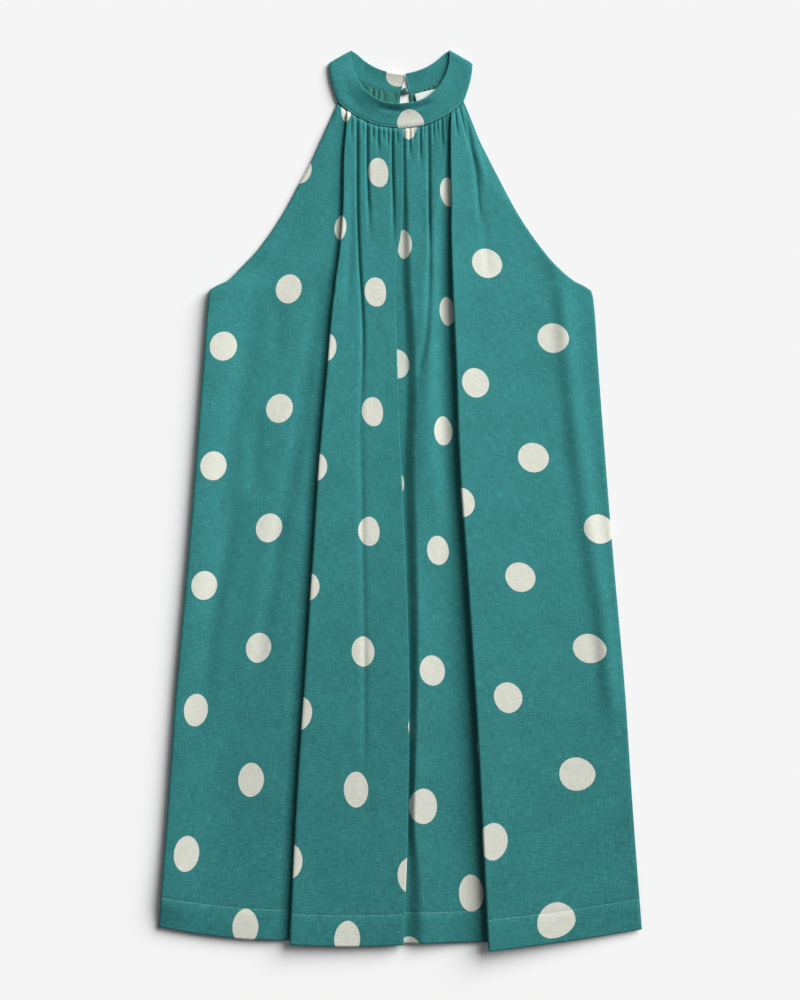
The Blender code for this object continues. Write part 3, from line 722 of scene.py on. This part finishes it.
def front_levels():
    """Levels of the front's rows of points, close together at the seam and at the hem's stitches."""
    near_seam = SEAM + np.array([-SEAM_TUCK, 0.0, 1.2, 2.6, 4.2, 6.2, 8.6, 11.4, 14.6])
    neck = np.arange(SEAM + 18.4, ARMHOLE_ROWS[0], 4.2)
    armhole = np.arange(*ARMHOLE_ROWS, 4.5)
    skirt = np.arange(ARMHOLE_ROWS[1], HEM_LINE - 4.0, 8.7)
    hem = HEM_LINE + np.array([-1.6, -0.7, 0.0, 0.7, 1.6, 8.0, 16.0, 24.0, 29.0])
    return np.concatenate([near_seam, neck, armhole, skirt, hem, [HEM_END]])


def fold_path(edge, tuck, roll, lift, side):
    """Through a folded edge from left to right. Side 1 has the upper cloth on the right, -1 on the left."""
    angle = np.linspace(-pi / 2, pi / 2, TURN_POINTS)
    out, up = np.cos(angle), 1 + np.sin(angle)
    edge, tuck, roll, lift = (a[:, None] for a in (edge, tuck, roll, lift))
    edge = edge + side * CLOTH / 2
    width = roll * ROLL_SHARPNESS[side]
    under_x = edge + side * (tuck - TUCK_TURN) + side * TUCK_TURN * out
    under_z = FRONT_LEVEL + TUCK_TURN * up + 0 * edge
    x = np.hstack([under_x, edge + side * width * (1 - out)])
    z = np.hstack([under_z, FRONT_LEVEL + 2 * TUCK_TURN + lift + roll * up])
    return (x, z) if side > 0 else (x[:, ::-1], z[:, ::-1])


def share_across(x):
    """How far across a grid each point lies, from 0 to 1."""
    return (x - x[:, :1]) / (x[:, -1:] - x[:, :1])


def stretch_x(name, start, end, levels):
    """X of each column of a stretch at each level, its columns running along the crease lines."""
    guides = {"box": BOX_GUIDES, "valley": VALLEY_GUIDES}.get(name, [])
    lines = [start] + [through(GUIDE_LEVELS, guide, levels) for guide in guides] + [end]
    pieces = []
    for k, (here, there) in enumerate(zip(lines, lines[1:])):
        share = np.linspace(0, 1, COLUMNS[name][k] + 1)[None, :]
        share = share - CROWDING.get(name, 0.0) * np.sin(2 * pi * share)
        stretch = here[:, None] + (there - here)[:, None] * share
        pieces.append(stretch if k == 0 else stretch[:, 1:])
    return np.hstack(pieces)


def climb(x, section, fold, side):
    """0 on the floor of the trench beside a fold's edge and 1 where the cloth has climbed out of it."""
    floor, width = section[fold + "_floor"], section[fold + "_climb"]
    return smooth((x - section[fold + "_fold"]) * side, floor, floor + width)


def base_height(name, x, levels, section, tops):
    """Height of a stretch before its gathers and creases."""
    full = smooth(levels, SEAM, SEAM + CROWNS_FULL)
    puff = GATHER_HEIGHT * (1 - smooth(levels, SEAM, SEAM + GATHERS_FADE))
    t = share_across(x)
    if name == "left":
        height = (LEFT_CROWN * full + puff) * climb(x, section, "left", -1)
    elif name == "valley":
        crown = VALLEY_CROWN * full * (1 - VALLEY_HEM_FALL * smooth(levels, *VALLEY_FALLS))
        crown *= VALLEY_UPPER + (1 - VALLEY_UPPER) * smooth(levels, *VALLEY_UPPER_ENDS)
        crest = section["centre_fold"] + section["centre_floor"] + section["centre_climb"]
        foot = section["right_fold"] - section["right_floor"]
        slope = np.clip((foot - x) / (foot - crest), 0, 1)
        rounded = climb(x, section, "right", -1)
        shape = rounded + (slope**VALLEY_HOLLOW - rounded) * smooth(levels, *VALLEY_SLOPES)
        height = (crown * shape + puff * rounded) * climb(x, section, "centre", 1)
    elif name == "box":
        sag = NECK_SAG + (BOX_SAG - NECK_SAG) * full
        across = tops["left"] + (tops["centre"] - tops["left"]) * t + BOX_TILT * full * (0.5 - t)
        return across - sag * np.sin(pi * t) + puff
    else:
        from_side = smooth(section["right"] - x, 0, RIGHT_SIDE_RISE)
        height = (tops["right"] - FRONT_LEVEL) * (1 - t) ** RIGHT_SLOPE + puff * from_side
    return FRONT_LEVEL + height


def gather_cuts(name, x, levels):
    """How deep the gathers at the neck seam cut into a stretch. Each follows a column of the mesh."""
    below = levels - SEAM
    cuts = np.zeros_like(x)
    number = np.arange(x.shape[1])
    seam_row = int(np.searchsorted(levels[:, 0], SEAM))
    for gather in GATHERS[name]:
        place = np.interp(gather.x, x[seam_row], number)
        line = np.array([np.interp(place, number, row) for row in x])[:, None]
        fade = 1 - smooth(below, GATHER_HOLD * gather.length, gather.length)
        side = np.where(x < line, 1 - GATHER_LEAN, 1 + GATHER_LEAN)
        width = gather.half_width * (1 + GATHER_WIDENS * (1 - fade)) * side
        cuts += gather.depth * fade * bell(x - line, width)
    return cuts


def settled(z):
    """Keeps the cloth from sinking below the front's own level."""
    height = z - FRONT_LEVEL
    return FRONT_LEVEL + (height + np.sqrt(height**2 + SOFT_FLOOR**2)) / 2


def hem_drop(name, t):
    """How far the hem hangs down at a share of a stretch's width."""
    left, middle, right = HEM[name]
    return left * (1 - t) * (1 - 2 * t) + middle * 4 * t * (1 - t) + right * t * (2 * t - 1)


def print_column(name, x, levels):
    """Which column of the print each point of a stretch lies in, as a number with decimals."""
    numbers, lines, drawn_in = zip(*PRINT_COLUMNS[name])
    steps = np.linspace(0, 1, PRINT_STEPS)
    spots = [through(PRINT_LEVELS, line, levels)[:, None] for line in lines]
    slopes = [through(PRINT_LEVELS, share, levels)[:, None] * COLUMN_PITCH for share in drawn_in]
    between = [hermite(*ends, steps) for ends in zip(spots, spots[1:], slopes, slopes[1:])]
    run_x = np.hstack([spots[0] - PRINT_PAST * slopes[0], *between, spots[-1] + PRINT_PAST * slopes[-1]])
    run = np.hstack([numbers[0] - PRINT_PAST, *[n + steps for n in numbers[:-1]], numbers[-1] + PRINT_PAST])
    return np.array([np.interp(*places, run) for places in zip(x, run_x)])


def print_row(column, down):
    """Which row of the print a point lies in, as a number with decimals."""
    upper, lower = read_table(FIRST_DOTS, column).values()
    rows, places = zip(*ROW_PLACES)
    first_guess = np.interp(down - upper, places, rows)
    share = smooth(first_guess, *LOWER_ROWS)
    return np.interp(down - upper - (lower - upper) * share, places, rows)


def front_turns(section, folds):
    """X and height of the cloth through each fold."""
    turns = {}
    for name, (fold, size, side) in TURNS.items():
        roll, lift = folds[size + "_roll"], folds[size + "_lift"]
        turns[name] = fold_path(section[fold + "_fold"], folds[fold + "_tuck"], roll, lift, side)
    return turns


def front_stretch(name, start, end, levels, section, tops):
    """X, height, drop at the hem and column of the print in one stretch."""
    x = stretch_x(name, start, end, levels)
    t = share_across(x)
    column = print_column(name, x, levels)
    below = np.maximum(levels, SEAM)
    levels, below = levels[:, None], below[:, None]
    z = base_height(name, x, levels, section, tops) - gather_cuts(name, x, below)
    soft = crease_height(CREASES, x, below) + undulation(x, below, UNEVENNESS)
    ease = np.sin(pi * t) ** 0.5 if name in ("box", "valley") else 1.0
    return x, settled(z + soft * ease), hem_drop(name, t) + 0 * x, column


def fold_between(name, after, here, there, turn):
    """The same in the fold between two stretches, whose own height is joined to theirs."""
    x, z = (a[:, 1:-1] for a in turn)
    t = np.linspace(0, 1, x.shape[1] + 2)[None, 1:-1]
    start = here[1][:, -1:] - turn[1][:, :1]
    end = there[1][:, :1] - turn[1][:, -1:]
    drop = hem_drop(name, 1) * (1 - t) + hem_drop(after, 0) * t + 0 * x
    column = hidden_columns(turn, here[3][:, -1:], there[3][:, :1])
    return x, z + (start * (1 - t) + end * t), drop, column


def finished_height(x, z, levels, left, right):
    """The front's height with its side edges bent down, its top pressed flat and its hem raised."""
    rising = np.clip((x - left) / LEFT_SIDE_RISE, 0, 1)
    z = FRONT_LEVEL + (z - FRONT_LEVEL) * np.sqrt(rising * (2 - rising))
    z -= EDGE_DROP * (1 - smooth(np.minimum(x - left, right - x), 0, EDGE_WIDTH))
    press = PRESSED + (1 - PRESSED) * smooth(levels, SEAM - 1.0, SEAM + PRESS_END)[:, None]
    return FRONT_LEVEL + (z - FRONT_LEVEL) * press + hem_relief(levels)[:, None]


def front_grid(seam_places):
    """Points of the front panel, their places in the flat cloth, each stretch's columns and the levels."""
    levels = front_levels()
    section = read_table(FRONT, levels)
    turns = front_turns(section, read_table(FOLDS, np.maximum(levels, SEAM)))
    tops = {
        "left": turns["left"][1][:, -1:],
        "centre": turns["box"][1][:, :1],
        "right": turns["valley"][1][:, -1:],
    }
    starts = [section["left"]] + [turn[0][:, -1] for turn in turns.values()]
    ends = [turn[0][:, 0] for turn in turns.values()] + [section["right"]]
    wide = {name: value[:, None] for name, value in (section | read_table(TRENCHES, levels)).items()}
    made = {
        name: front_stretch(name, start, end, levels, wide, tops)
        for name, start, end in zip(STRETCHES, starts, ends)
    }
    parts, spans, first = [], {}, 0
    for name, after in zip(STRETCHES, STRETCHES[1:] + (None,)):
        spans[name] = slice(first, first + made[name][0].shape[1])
        parts.append(made[name])
        if after:
            parts.append(fold_between(name, after, made[name], made[after], turns[name]))
            first = spans[name].stop + parts[-1][0].shape[1]
    x, z, drop, column = (np.hstack(part) for part in zip(*parts))
    left, right = wide["left"], wide["right"]
    z = finished_height(x, z, levels, left, right)
    at_seam = FRONT[0].left + (x - left) / (right - left) * (FRONT[0].right - FRONT[0].left)
    dip = np.interp(at_seam, *seam_places) - SEAM
    straight = smooth(levels, SEAM, ROWS_STRAIGHT)[:, None]
    hang = smooth(levels, HEM_DROP_STARTS, HEM_END)[:, None]
    down = levels[:, None] + dip * (1 - straight) + drop * hang
    fabric = np.stack([column, print_row(column, down)], axis=-1)
    return metres(x, down, z), fabric, spans, levels


def hidden_columns(turn, here, there):
    """The print's columns through a fold: true to size at its ends, evened out where it is hidden."""
    x, z = turn
    step = np.hypot(np.diff(x, axis=1), np.diff(z, axis=1))
    run = np.hstack([np.zeros_like(x[:, :1]), np.cumsum(step, axis=1)])
    t = run / run[:, -1:]
    slope = run[:, -1:] / COLUMN_PITCH
    return hermite(here, there, slope, slope, t)[:, 1:-1]


def hem_relief(levels):
    """The turned-up hem stands a little proud, with a groove where its stitches hold it down."""
    ridge = HEM_RIDGE * smooth(levels, HEM_LINE, HEM_LINE + HEM_RIDGE_GROWS)
    proud = ridge + HEM_STANDS * smooth(levels, *HEM_BENDS)
    return proud - HEM_GROOVE * bell(levels - HEM_LINE, 1.0)


def make_front(seam_places):
    """The front panel and its hem's stitches, which show on each stretch but not in the folds."""
    points, fabric, spans, levels = front_grid(seam_places)
    obj = sheet_object("front_cloth", points, fabric, [dotted, wrong_side], CLOTH)
    stands_for(obj, "dotted_linen", "front_panel")
    row = points[int(np.searchsorted(levels, HEM_LINE))] + np.array([0, 0, CLOTH / 2 * MM])
    return obj, [stitches(f"hem_stitches_{n}", row[spans[n]], *HEM_STITCHES) for n in STRETCHES]


# ---- back panel ----

def keyhole_half(down):
    """Half the keyhole's width: nearly parallel at the seam, widest lower down and round at its end."""
    widened = smooth(down, KEYHOLE_TOP, KEYHOLE_WIDEST)
    upper = KEYHOLE_TOP_HALF + (KEYHOLE_HALF - KEYHOLE_TOP_HALF) * widened
    t = np.clip((down - KEYHOLE_WIDEST) / (KEYHOLE_END - KEYHOLE_WIDEST), 0, 1)
    return np.where(down < KEYHOLE_WIDEST, upper, KEYHOLE_HALF * np.sqrt(1 - t * t))


def back_edges(levels):
    """X of the back's sides: its own under the band, and just inside the front's below it."""
    upper, lower = read_table(BACK_TOP, levels), read_table(FRONT, levels)
    return [
        np.where(levels < SEAM, upper[side], lower[side] + inset)
        for side, inset in (("left", BACK_INSET), ("right", -BACK_INSET))
    ]


def make_back(seam_places):
    top = BACK_TOP[0].down
    near = np.array([0.0, 1.5, 3.5, 6.0, 9.0, 12.5, 16.5, 21.0, 25.5])
    hole_end = KEYHOLE_END + np.array([-7.0, -4.5, -2.5, -1.2, -0.4, 0.0])
    body = np.arange(SEAM, hole_end[0], 5.0)
    armhole = np.arange(130.0, ARMHOLE_ROWS[1], 6.0)
    skirt = np.linspace(ARMHOLE_ROWS[1], HEM_END, 48)
    levels = np.concatenate([top + near, body, hole_end, armhole, skirt])
    left, right = back_edges(levels)
    count = BACK_GATHERS * BACK_GATHER_POINTS
    share = np.linspace(0, 1, count + 1)
    straight = smooth(levels, top, BACK_ROWS_STRAIGHT)[:, None]
    hang = smooth(levels, HEM_DROP_STARTS, HEM_END)[:, None]
    fade = 1 - smooth(levels, top, top + BACK_GATHER_LENGTH)[:, None]
    halves = []
    for side, edge, away in ((-1, left, 1 - share), (1, right, share)):
        seam_end = BACK_TOP[0].left if side < 0 else BACK_TOP[0].right
        start = KEYHOLE_X + side * KEYHOLE_TOP_HALF
        at_seam = start + (seam_end - start) * away
        dip = np.interp(at_seam, *seam_places)[None, :] - top
        down = levels[:, None] + dip * (1 - straight)
        hole = keyhole_half(down)
        reach = np.abs(edge - KEYHOLE_X)[:, None]
        x = KEYHOLE_X + side * (hole + (reach - hole) * away)
        turns = BACK_GATHERS * away + BACK_GATHER_SHIFT * np.sin(4.6 * pi * away + 0.6)
        puffs = (0.5 - 0.5 * np.cos(2 * pi * turns)) ** 0.6
        varied = 1 - BACK_GATHER_VARIES * np.cos(5 * away)
        z = BACK_LEVEL + BACK_GATHER_DEPTH * fade * puffs * varied
        z = z + crease_height(BACK_CREASES, x, down)
        down = down + BACK_HEM * (1 - away**2) * hang
        halves.append((x, down, z))
    x, down, z = (np.hstack(part) for part in zip(*halves))
    fabric = np.stack([x / COLUMN_PITCH + BACK_PRINT[0], down / ROW_PITCH + BACK_PRINT[1]], axis=-1)
    obj = sheet_object("back_cloth", metres(x, down, z), fabric, [wrong_side, dotted], CLOTH, skip=(count,))
    return stands_for(obj, "dotted_linen", "back_panel")


# ---- neckband ----

def band_lines(rows, start, level):
    """The table's lines across the band, with a level and shift, at even steps from start to its last row."""
    count = round((len(rows) - 1 - start) * BAND_STATIONS)
    places = np.linspace(start, len(rows) - 1, count + 1)
    columns = [through(np.arange(len(rows)), column, places) for column in zip(*rows)]
    return [(*line, level, 0.0) for line in zip(*columns)]


def shoulder_lines():
    """The same round the shoulder fold, whose outer face ends on the strip's own line."""
    lines = []
    for angle in np.linspace(-pi / 2, pi / 2, 9)[1:-1]:
        shift = BAND_TURN * (cos(angle) - 1) - BAND_WALL / 2
        rise = BAND_TURN * (sin(angle) + 1)
        lines.append((*SHOULDER, BAND_LEVEL + rise, shift))
    return lines


def band_points(lines, side):
    """Middle of the band's wall: a row for each place along it, from the seam edge to the free edge."""
    across = np.linspace(0, 1, BAND_ACROSS + 1)
    rows = []
    for seam_x, seam_down, free_x, free_down, rise, level, shift in lines:
        direction = Vector((free_x - seam_x, seam_down - free_down)).normalized()
        x = seam_x + (free_x - seam_x) * across - direction.y * shift
        down = seam_down + (free_down - seam_down) * across - direction.x * shift
        front = (level - BAND_LEVEL) / (2 * BAND_TURN)
        z = level + rise * across**BAND_CURL - front * SEAM_SINKS * bell(across, SEAM_SINK_WIDTH)
        for dent in BAND_DENTS:
            hollow = bell(-side * x - dent.x, dent.half_width) * bell(across - dent.across, dent.half_across)
            z = z - front * dent.depth * hollow
        if side < 0:
            z = z - front * LEFT_SETTLES * (1 - smooth(down, *LEFT_SETTLED)) * across**BAND_CURL
        rows.append(metres(-side * x, down, z))
    return rows


def seam_curve(rows, right_start):
    """The seam edge of the whole band on one face, as x and down by rising x."""
    left = [line[:2] for line in band_lines(rows, 0, 0)]
    right = [(-line[0], line[1]) for line in band_lines(rows, right_start, 0)]
    return tuple(zip(*sorted(set(left + right))))


def band_half(side, back_start):
    """Rows of points of half the band, and the numbers of the rows where its fold and its front begin."""
    back = band_points(band_lines(BAND_BACK, back_start, BAND_LEVEL), side)
    fold = band_points(shoulder_lines(), side)
    front = band_points(band_lines(BAND_FRONT, 0, BAND_LEVEL + 2 * BAND_TURN), side)
    return back + fold + front, len(back), len(back) + len(fold)


def band_walls(middle):
    """Points of the wall's two faces and of the round free edge between them."""
    along, across = np.gradient(middle, axis=0), np.gradient(middle, axis=1)
    normal = np.cross(across, along)
    normal /= np.linalg.norm(normal, axis=-1, keepdims=True)
    outward = across[:, -1] / np.linalg.norm(across[:, -1], axis=-1, keepdims=True)
    half = BAND_WALL / 2 * MM
    t = np.linspace(0, 1, BAND_ACROSS + 1)
    pinch = BAND_PINCH * bell(t - BAND_STITCH, PINCH_WIDTHS[0])
    thin = 1 - pinch - BAND_PINCH * bell(t, PINCH_WIDTHS[1])
    lift = normal * (half * thin)[None, :, None]
    angles = np.linspace(pi / 2, -pi / 2, BAND_EDGE_POINTS + 2)[1:-1]
    rounds = [middle[:, -1] + outward * half * cos(a) + normal[:, -1] * half * sin(a) for a in angles]
    return middle + lift, middle - lift, np.stack(rounds, axis=1)


def band_fabric(run, left_back, right_back):
    """Each point's place in the print. The two back strips have places of their own in it."""
    t = np.linspace(0, 1, BAND_ACROSS + 1)
    side_t = np.concatenate([t, np.full(BAND_EDGE_POINTS, 1.0), t[::-1]])
    back_width, front_width = BAND_WIDTHS
    column = (run - BAND_FRONT_DOT[0]) / COLUMN_PITCH
    column[:left_back] = (run[:left_back] - run[0] + BAND_BACK_DOT[0]) / COLUMN_PITCH
    row = (side_t - BAND_FRONT_DOT[1])[None, :] * front_width / ROW_PITCH
    row = row + BAND_SHIFT * smooth(-run, *BAND_SHIFTS)[:, None]
    row[:left_back] = (side_t - BAND_BACK_DOT[1]) * back_width / ROW_PITCH
    row[-right_back:] = BAND_RIGHT_BACK_ROW + side_t * back_width / ROW_PITCH
    return np.stack([np.broadcast_to(column[:, None], row.shape), row], axis=-1)


def end_faces(row, step):
    """Faces that close an end of the band, at the button. Step -1 turns them round."""
    count = len(row)
    quads = [[row[k], row[k + 1], row[count - 2 - k], row[count - 1 - k]] for k in range(BAND_ACROSS)]
    return [face[::step] for face in quads + [row[BAND_ACROSS : count - BAND_ACROSS]]]


def make_band():
    """The neckband as a strip folded double: a flat tube with a round free edge."""
    left, left_back, left_front = band_half(-1, 0)
    right, right_back, right_front = band_half(1, RIGHT_BACK_START)
    middle = np.array(left[:-1] + right[::-1])
    upper, lower, rounds = band_walls(middle)
    loops = np.concatenate([upper, rounds, lower[:, ::-1]], axis=1)
    run = run_along(middle[:, 0]) / MM
    fabric = band_fabric(run - run[len(left) - 1], left_back, right_back)
    index = vertex_grid(loops.shape)
    faces = [face[::-1] for face in grid_faces(vertex_grid(loops.shape, ring=True))]
    faces += end_faces(index[0].tolist(), 1) + end_faces(index[-1].tolist(), -1)
    obj = make_mesh("band_cloth", loops, faces, [dotted], fabric)
    stands_for(obj, "dotted_linen", "neckband")
    k = round(BAND_STITCH * BAND_ACROSS)
    line = lower[left_front : len(middle) - right_front, k]
    line = line[line[:, 1] < (MIDDLE_DOWN - STITCHES_FROM) * MM]
    sewn = [stitches("band_front_stitches", line, *BAND_FRONT_STITCHES)]
    for number, back in enumerate((upper[:left_back, k], upper[-right_back:, k]), 1):
        sewn.append(stitches(f"band_back_stitches_{number}", back, *BAND_BACK_STITCHES))
    return obj, sewn


# ---- closure and label ----

def button_place():
    """X and y of the button's centre, and its radius."""
    low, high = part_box("button")
    return (low[0] + high[0]) / 2, (low[1] + high[1]) / 2, (high[0] - low[0]) / 2


def make_button():
    x, y, radius = button_place()
    r, z = (np.array(part, float)[:, None] * MM for part in zip(*BUTTON_PROFILE))
    turn = np.arange(BUTTON_STEPS)[None, :] * 2 * pi / BUTTON_STEPS
    r = r * (radius / r.max())
    points = np.stack(np.broadcast_arrays(x + np.cos(turn) * r, y + np.sin(turn) * r, z), axis=-1)
    obj = make_mesh("button_turned", points, grid_faces(vertex_grid(points.shape, ring=True)), [button_look])
    weld = obj.modifiers.new("Weld", "WELD")
    weld.merge_threshold = BUTTON_WELD * MM
    return stands_for(obj, "button", "button")


def make_loop():
    """A rouleau from the band's right end, round the button's shank and back."""
    x, y, _ = button_place()
    radius = LOOP_RADIUS * MM
    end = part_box("button_loop")[1][0]
    angles = np.linspace(pi / 2, 3 * pi / 2, 17)
    route = [(end, y + radius)] + [(x + radius * cos(a), y + radius * sin(a)) for a in angles]
    route.append((end - LOOP_SHORTER * MM, y - radius))
    curve = bpy.data.curves.new("rouleau", "CURVE")
    curve.dimensions = "3D"
    curve.bevel_depth = LOOP_WIRE * MM
    curve.bevel_resolution = 4
    curve.use_fill_caps = True
    spline = curve.splines.new("POLY")
    spline.points.add(len(route) - 1)
    for spot, (px, py) in zip(spline.points, route):
        spot.co = (px, py, LOOP_LEVEL * MM, 1)
    curve.materials.append(rouleau_look)
    return stands_for(add_object("rouleau", curve), "dotted_linen", "button_loop")


def make_label():
    """A blank woven label, its ends a little lower, a little wavy along its length."""
    along, across = (np.linspace(0, size, steps + 1) for size, steps in
                     zip((LABEL_LENGTH, LABEL_WIDTH), LABEL_STEPS))
    a, b = np.meshgrid(along, across, indexing="ij")
    waves = LABEL_WAVES[0] * np.sin(a / LABEL_LENGTH * pi * 1.5) + LABEL_WAVES[1] * np.sin(b / 4.0)
    ends = 1 - smooth(np.minimum(a, LABEL_LENGTH - a), *LABEL_ENDS)
    z = LABEL_LEVEL + waves - LABEL_ENDS_DROP * ends
    turn, tilt = cos(LABEL_TURN), sin(LABEL_TURN)
    points = metres(LABEL_CORNER[0] + a * turn + b * tilt, LABEL_CORNER[1] - a * tilt + b * turn, z)
    obj = sheet_object("label_woven", points, np.stack([a, b], axis=-1), [label_look], LABEL_WALL)
    return stands_for(obj, "label", "label")


# ---- room, light and camera ----

def make_room():
    corners = np.array([(-1, -1, 0), (1, -1, 0), (1, 1, 0), (-1, 1, 0)]) * FLOOR_HALF
    make_mesh("floor", corners, [[0, 1, 2, 3]], [floor_look])
    world = bpy.data.worlds.new("studio")
    world.use_nodes = True
    background = world.node_tree.nodes["Background"].inputs
    background["Color"].default_value = (1, 1, 1, 1)
    background["Strength"].default_value = WORLD_LIGHT
    bpy.context.scene.world = world
    sun = bpy.data.lights.new("key", "SUN")
    sun.angle = KEY_WIDTH
    sun.energy = KEY_STRENGTH
    key = add_object("key", sun)
    key.location = KEY_PLACE
    key.rotation_euler = (-key.location).to_track_quat("-Z", "Y").to_euler()


def make_camera():
    camera = bpy.data.cameras.new("camera")
    camera.sensor_width = SENSOR
    camera.lens = SENSOR * CAMERA_HEIGHT / (PICTURE_HEIGHT * PIXEL)
    obj = add_object("camera", camera)
    obj.location = (*CAMERA_CENTRE, CAMERA_HEIGHT + REFERENCE_HEIGHT)
    bpy.context.scene.camera = obj
    bpy.context.scene.view_settings.view_transform = "Standard"


dotted = linen("dotted linen", TEAL, True)
wrong_side = linen("linen wrong side", INSIDE_TEAL, False)
thread = plain("sewing thread", THREAD, 0.6, 900.0, 0.00003, sheen=0.1)
rouleau_look = plain("rouleau", TEAL, 0.8, 700.0, 0.00005, sheen=0.1)
button_look = plain("button", BUTTON_TEAL, 0.32, 250.0, 0.00001)
label_look = plain("woven label", LABEL_WHITE, 0.55, 800.0, 0.00004, sheen=0.2)
floor_look = Look("pale floor", 0.9, colour=FLOOR, specular=0.1).material

make_camera()
make_room()
front, hem_stitches = make_front(seam_curve(BAND_FRONT, 0))
back = make_back(seam_curve(BAND_BACK, RIGHT_BACK_START))
band, band_stitches = make_band()
make_button()
make_loop()
make_label()

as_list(hem_stitches)
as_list(band_stitches)
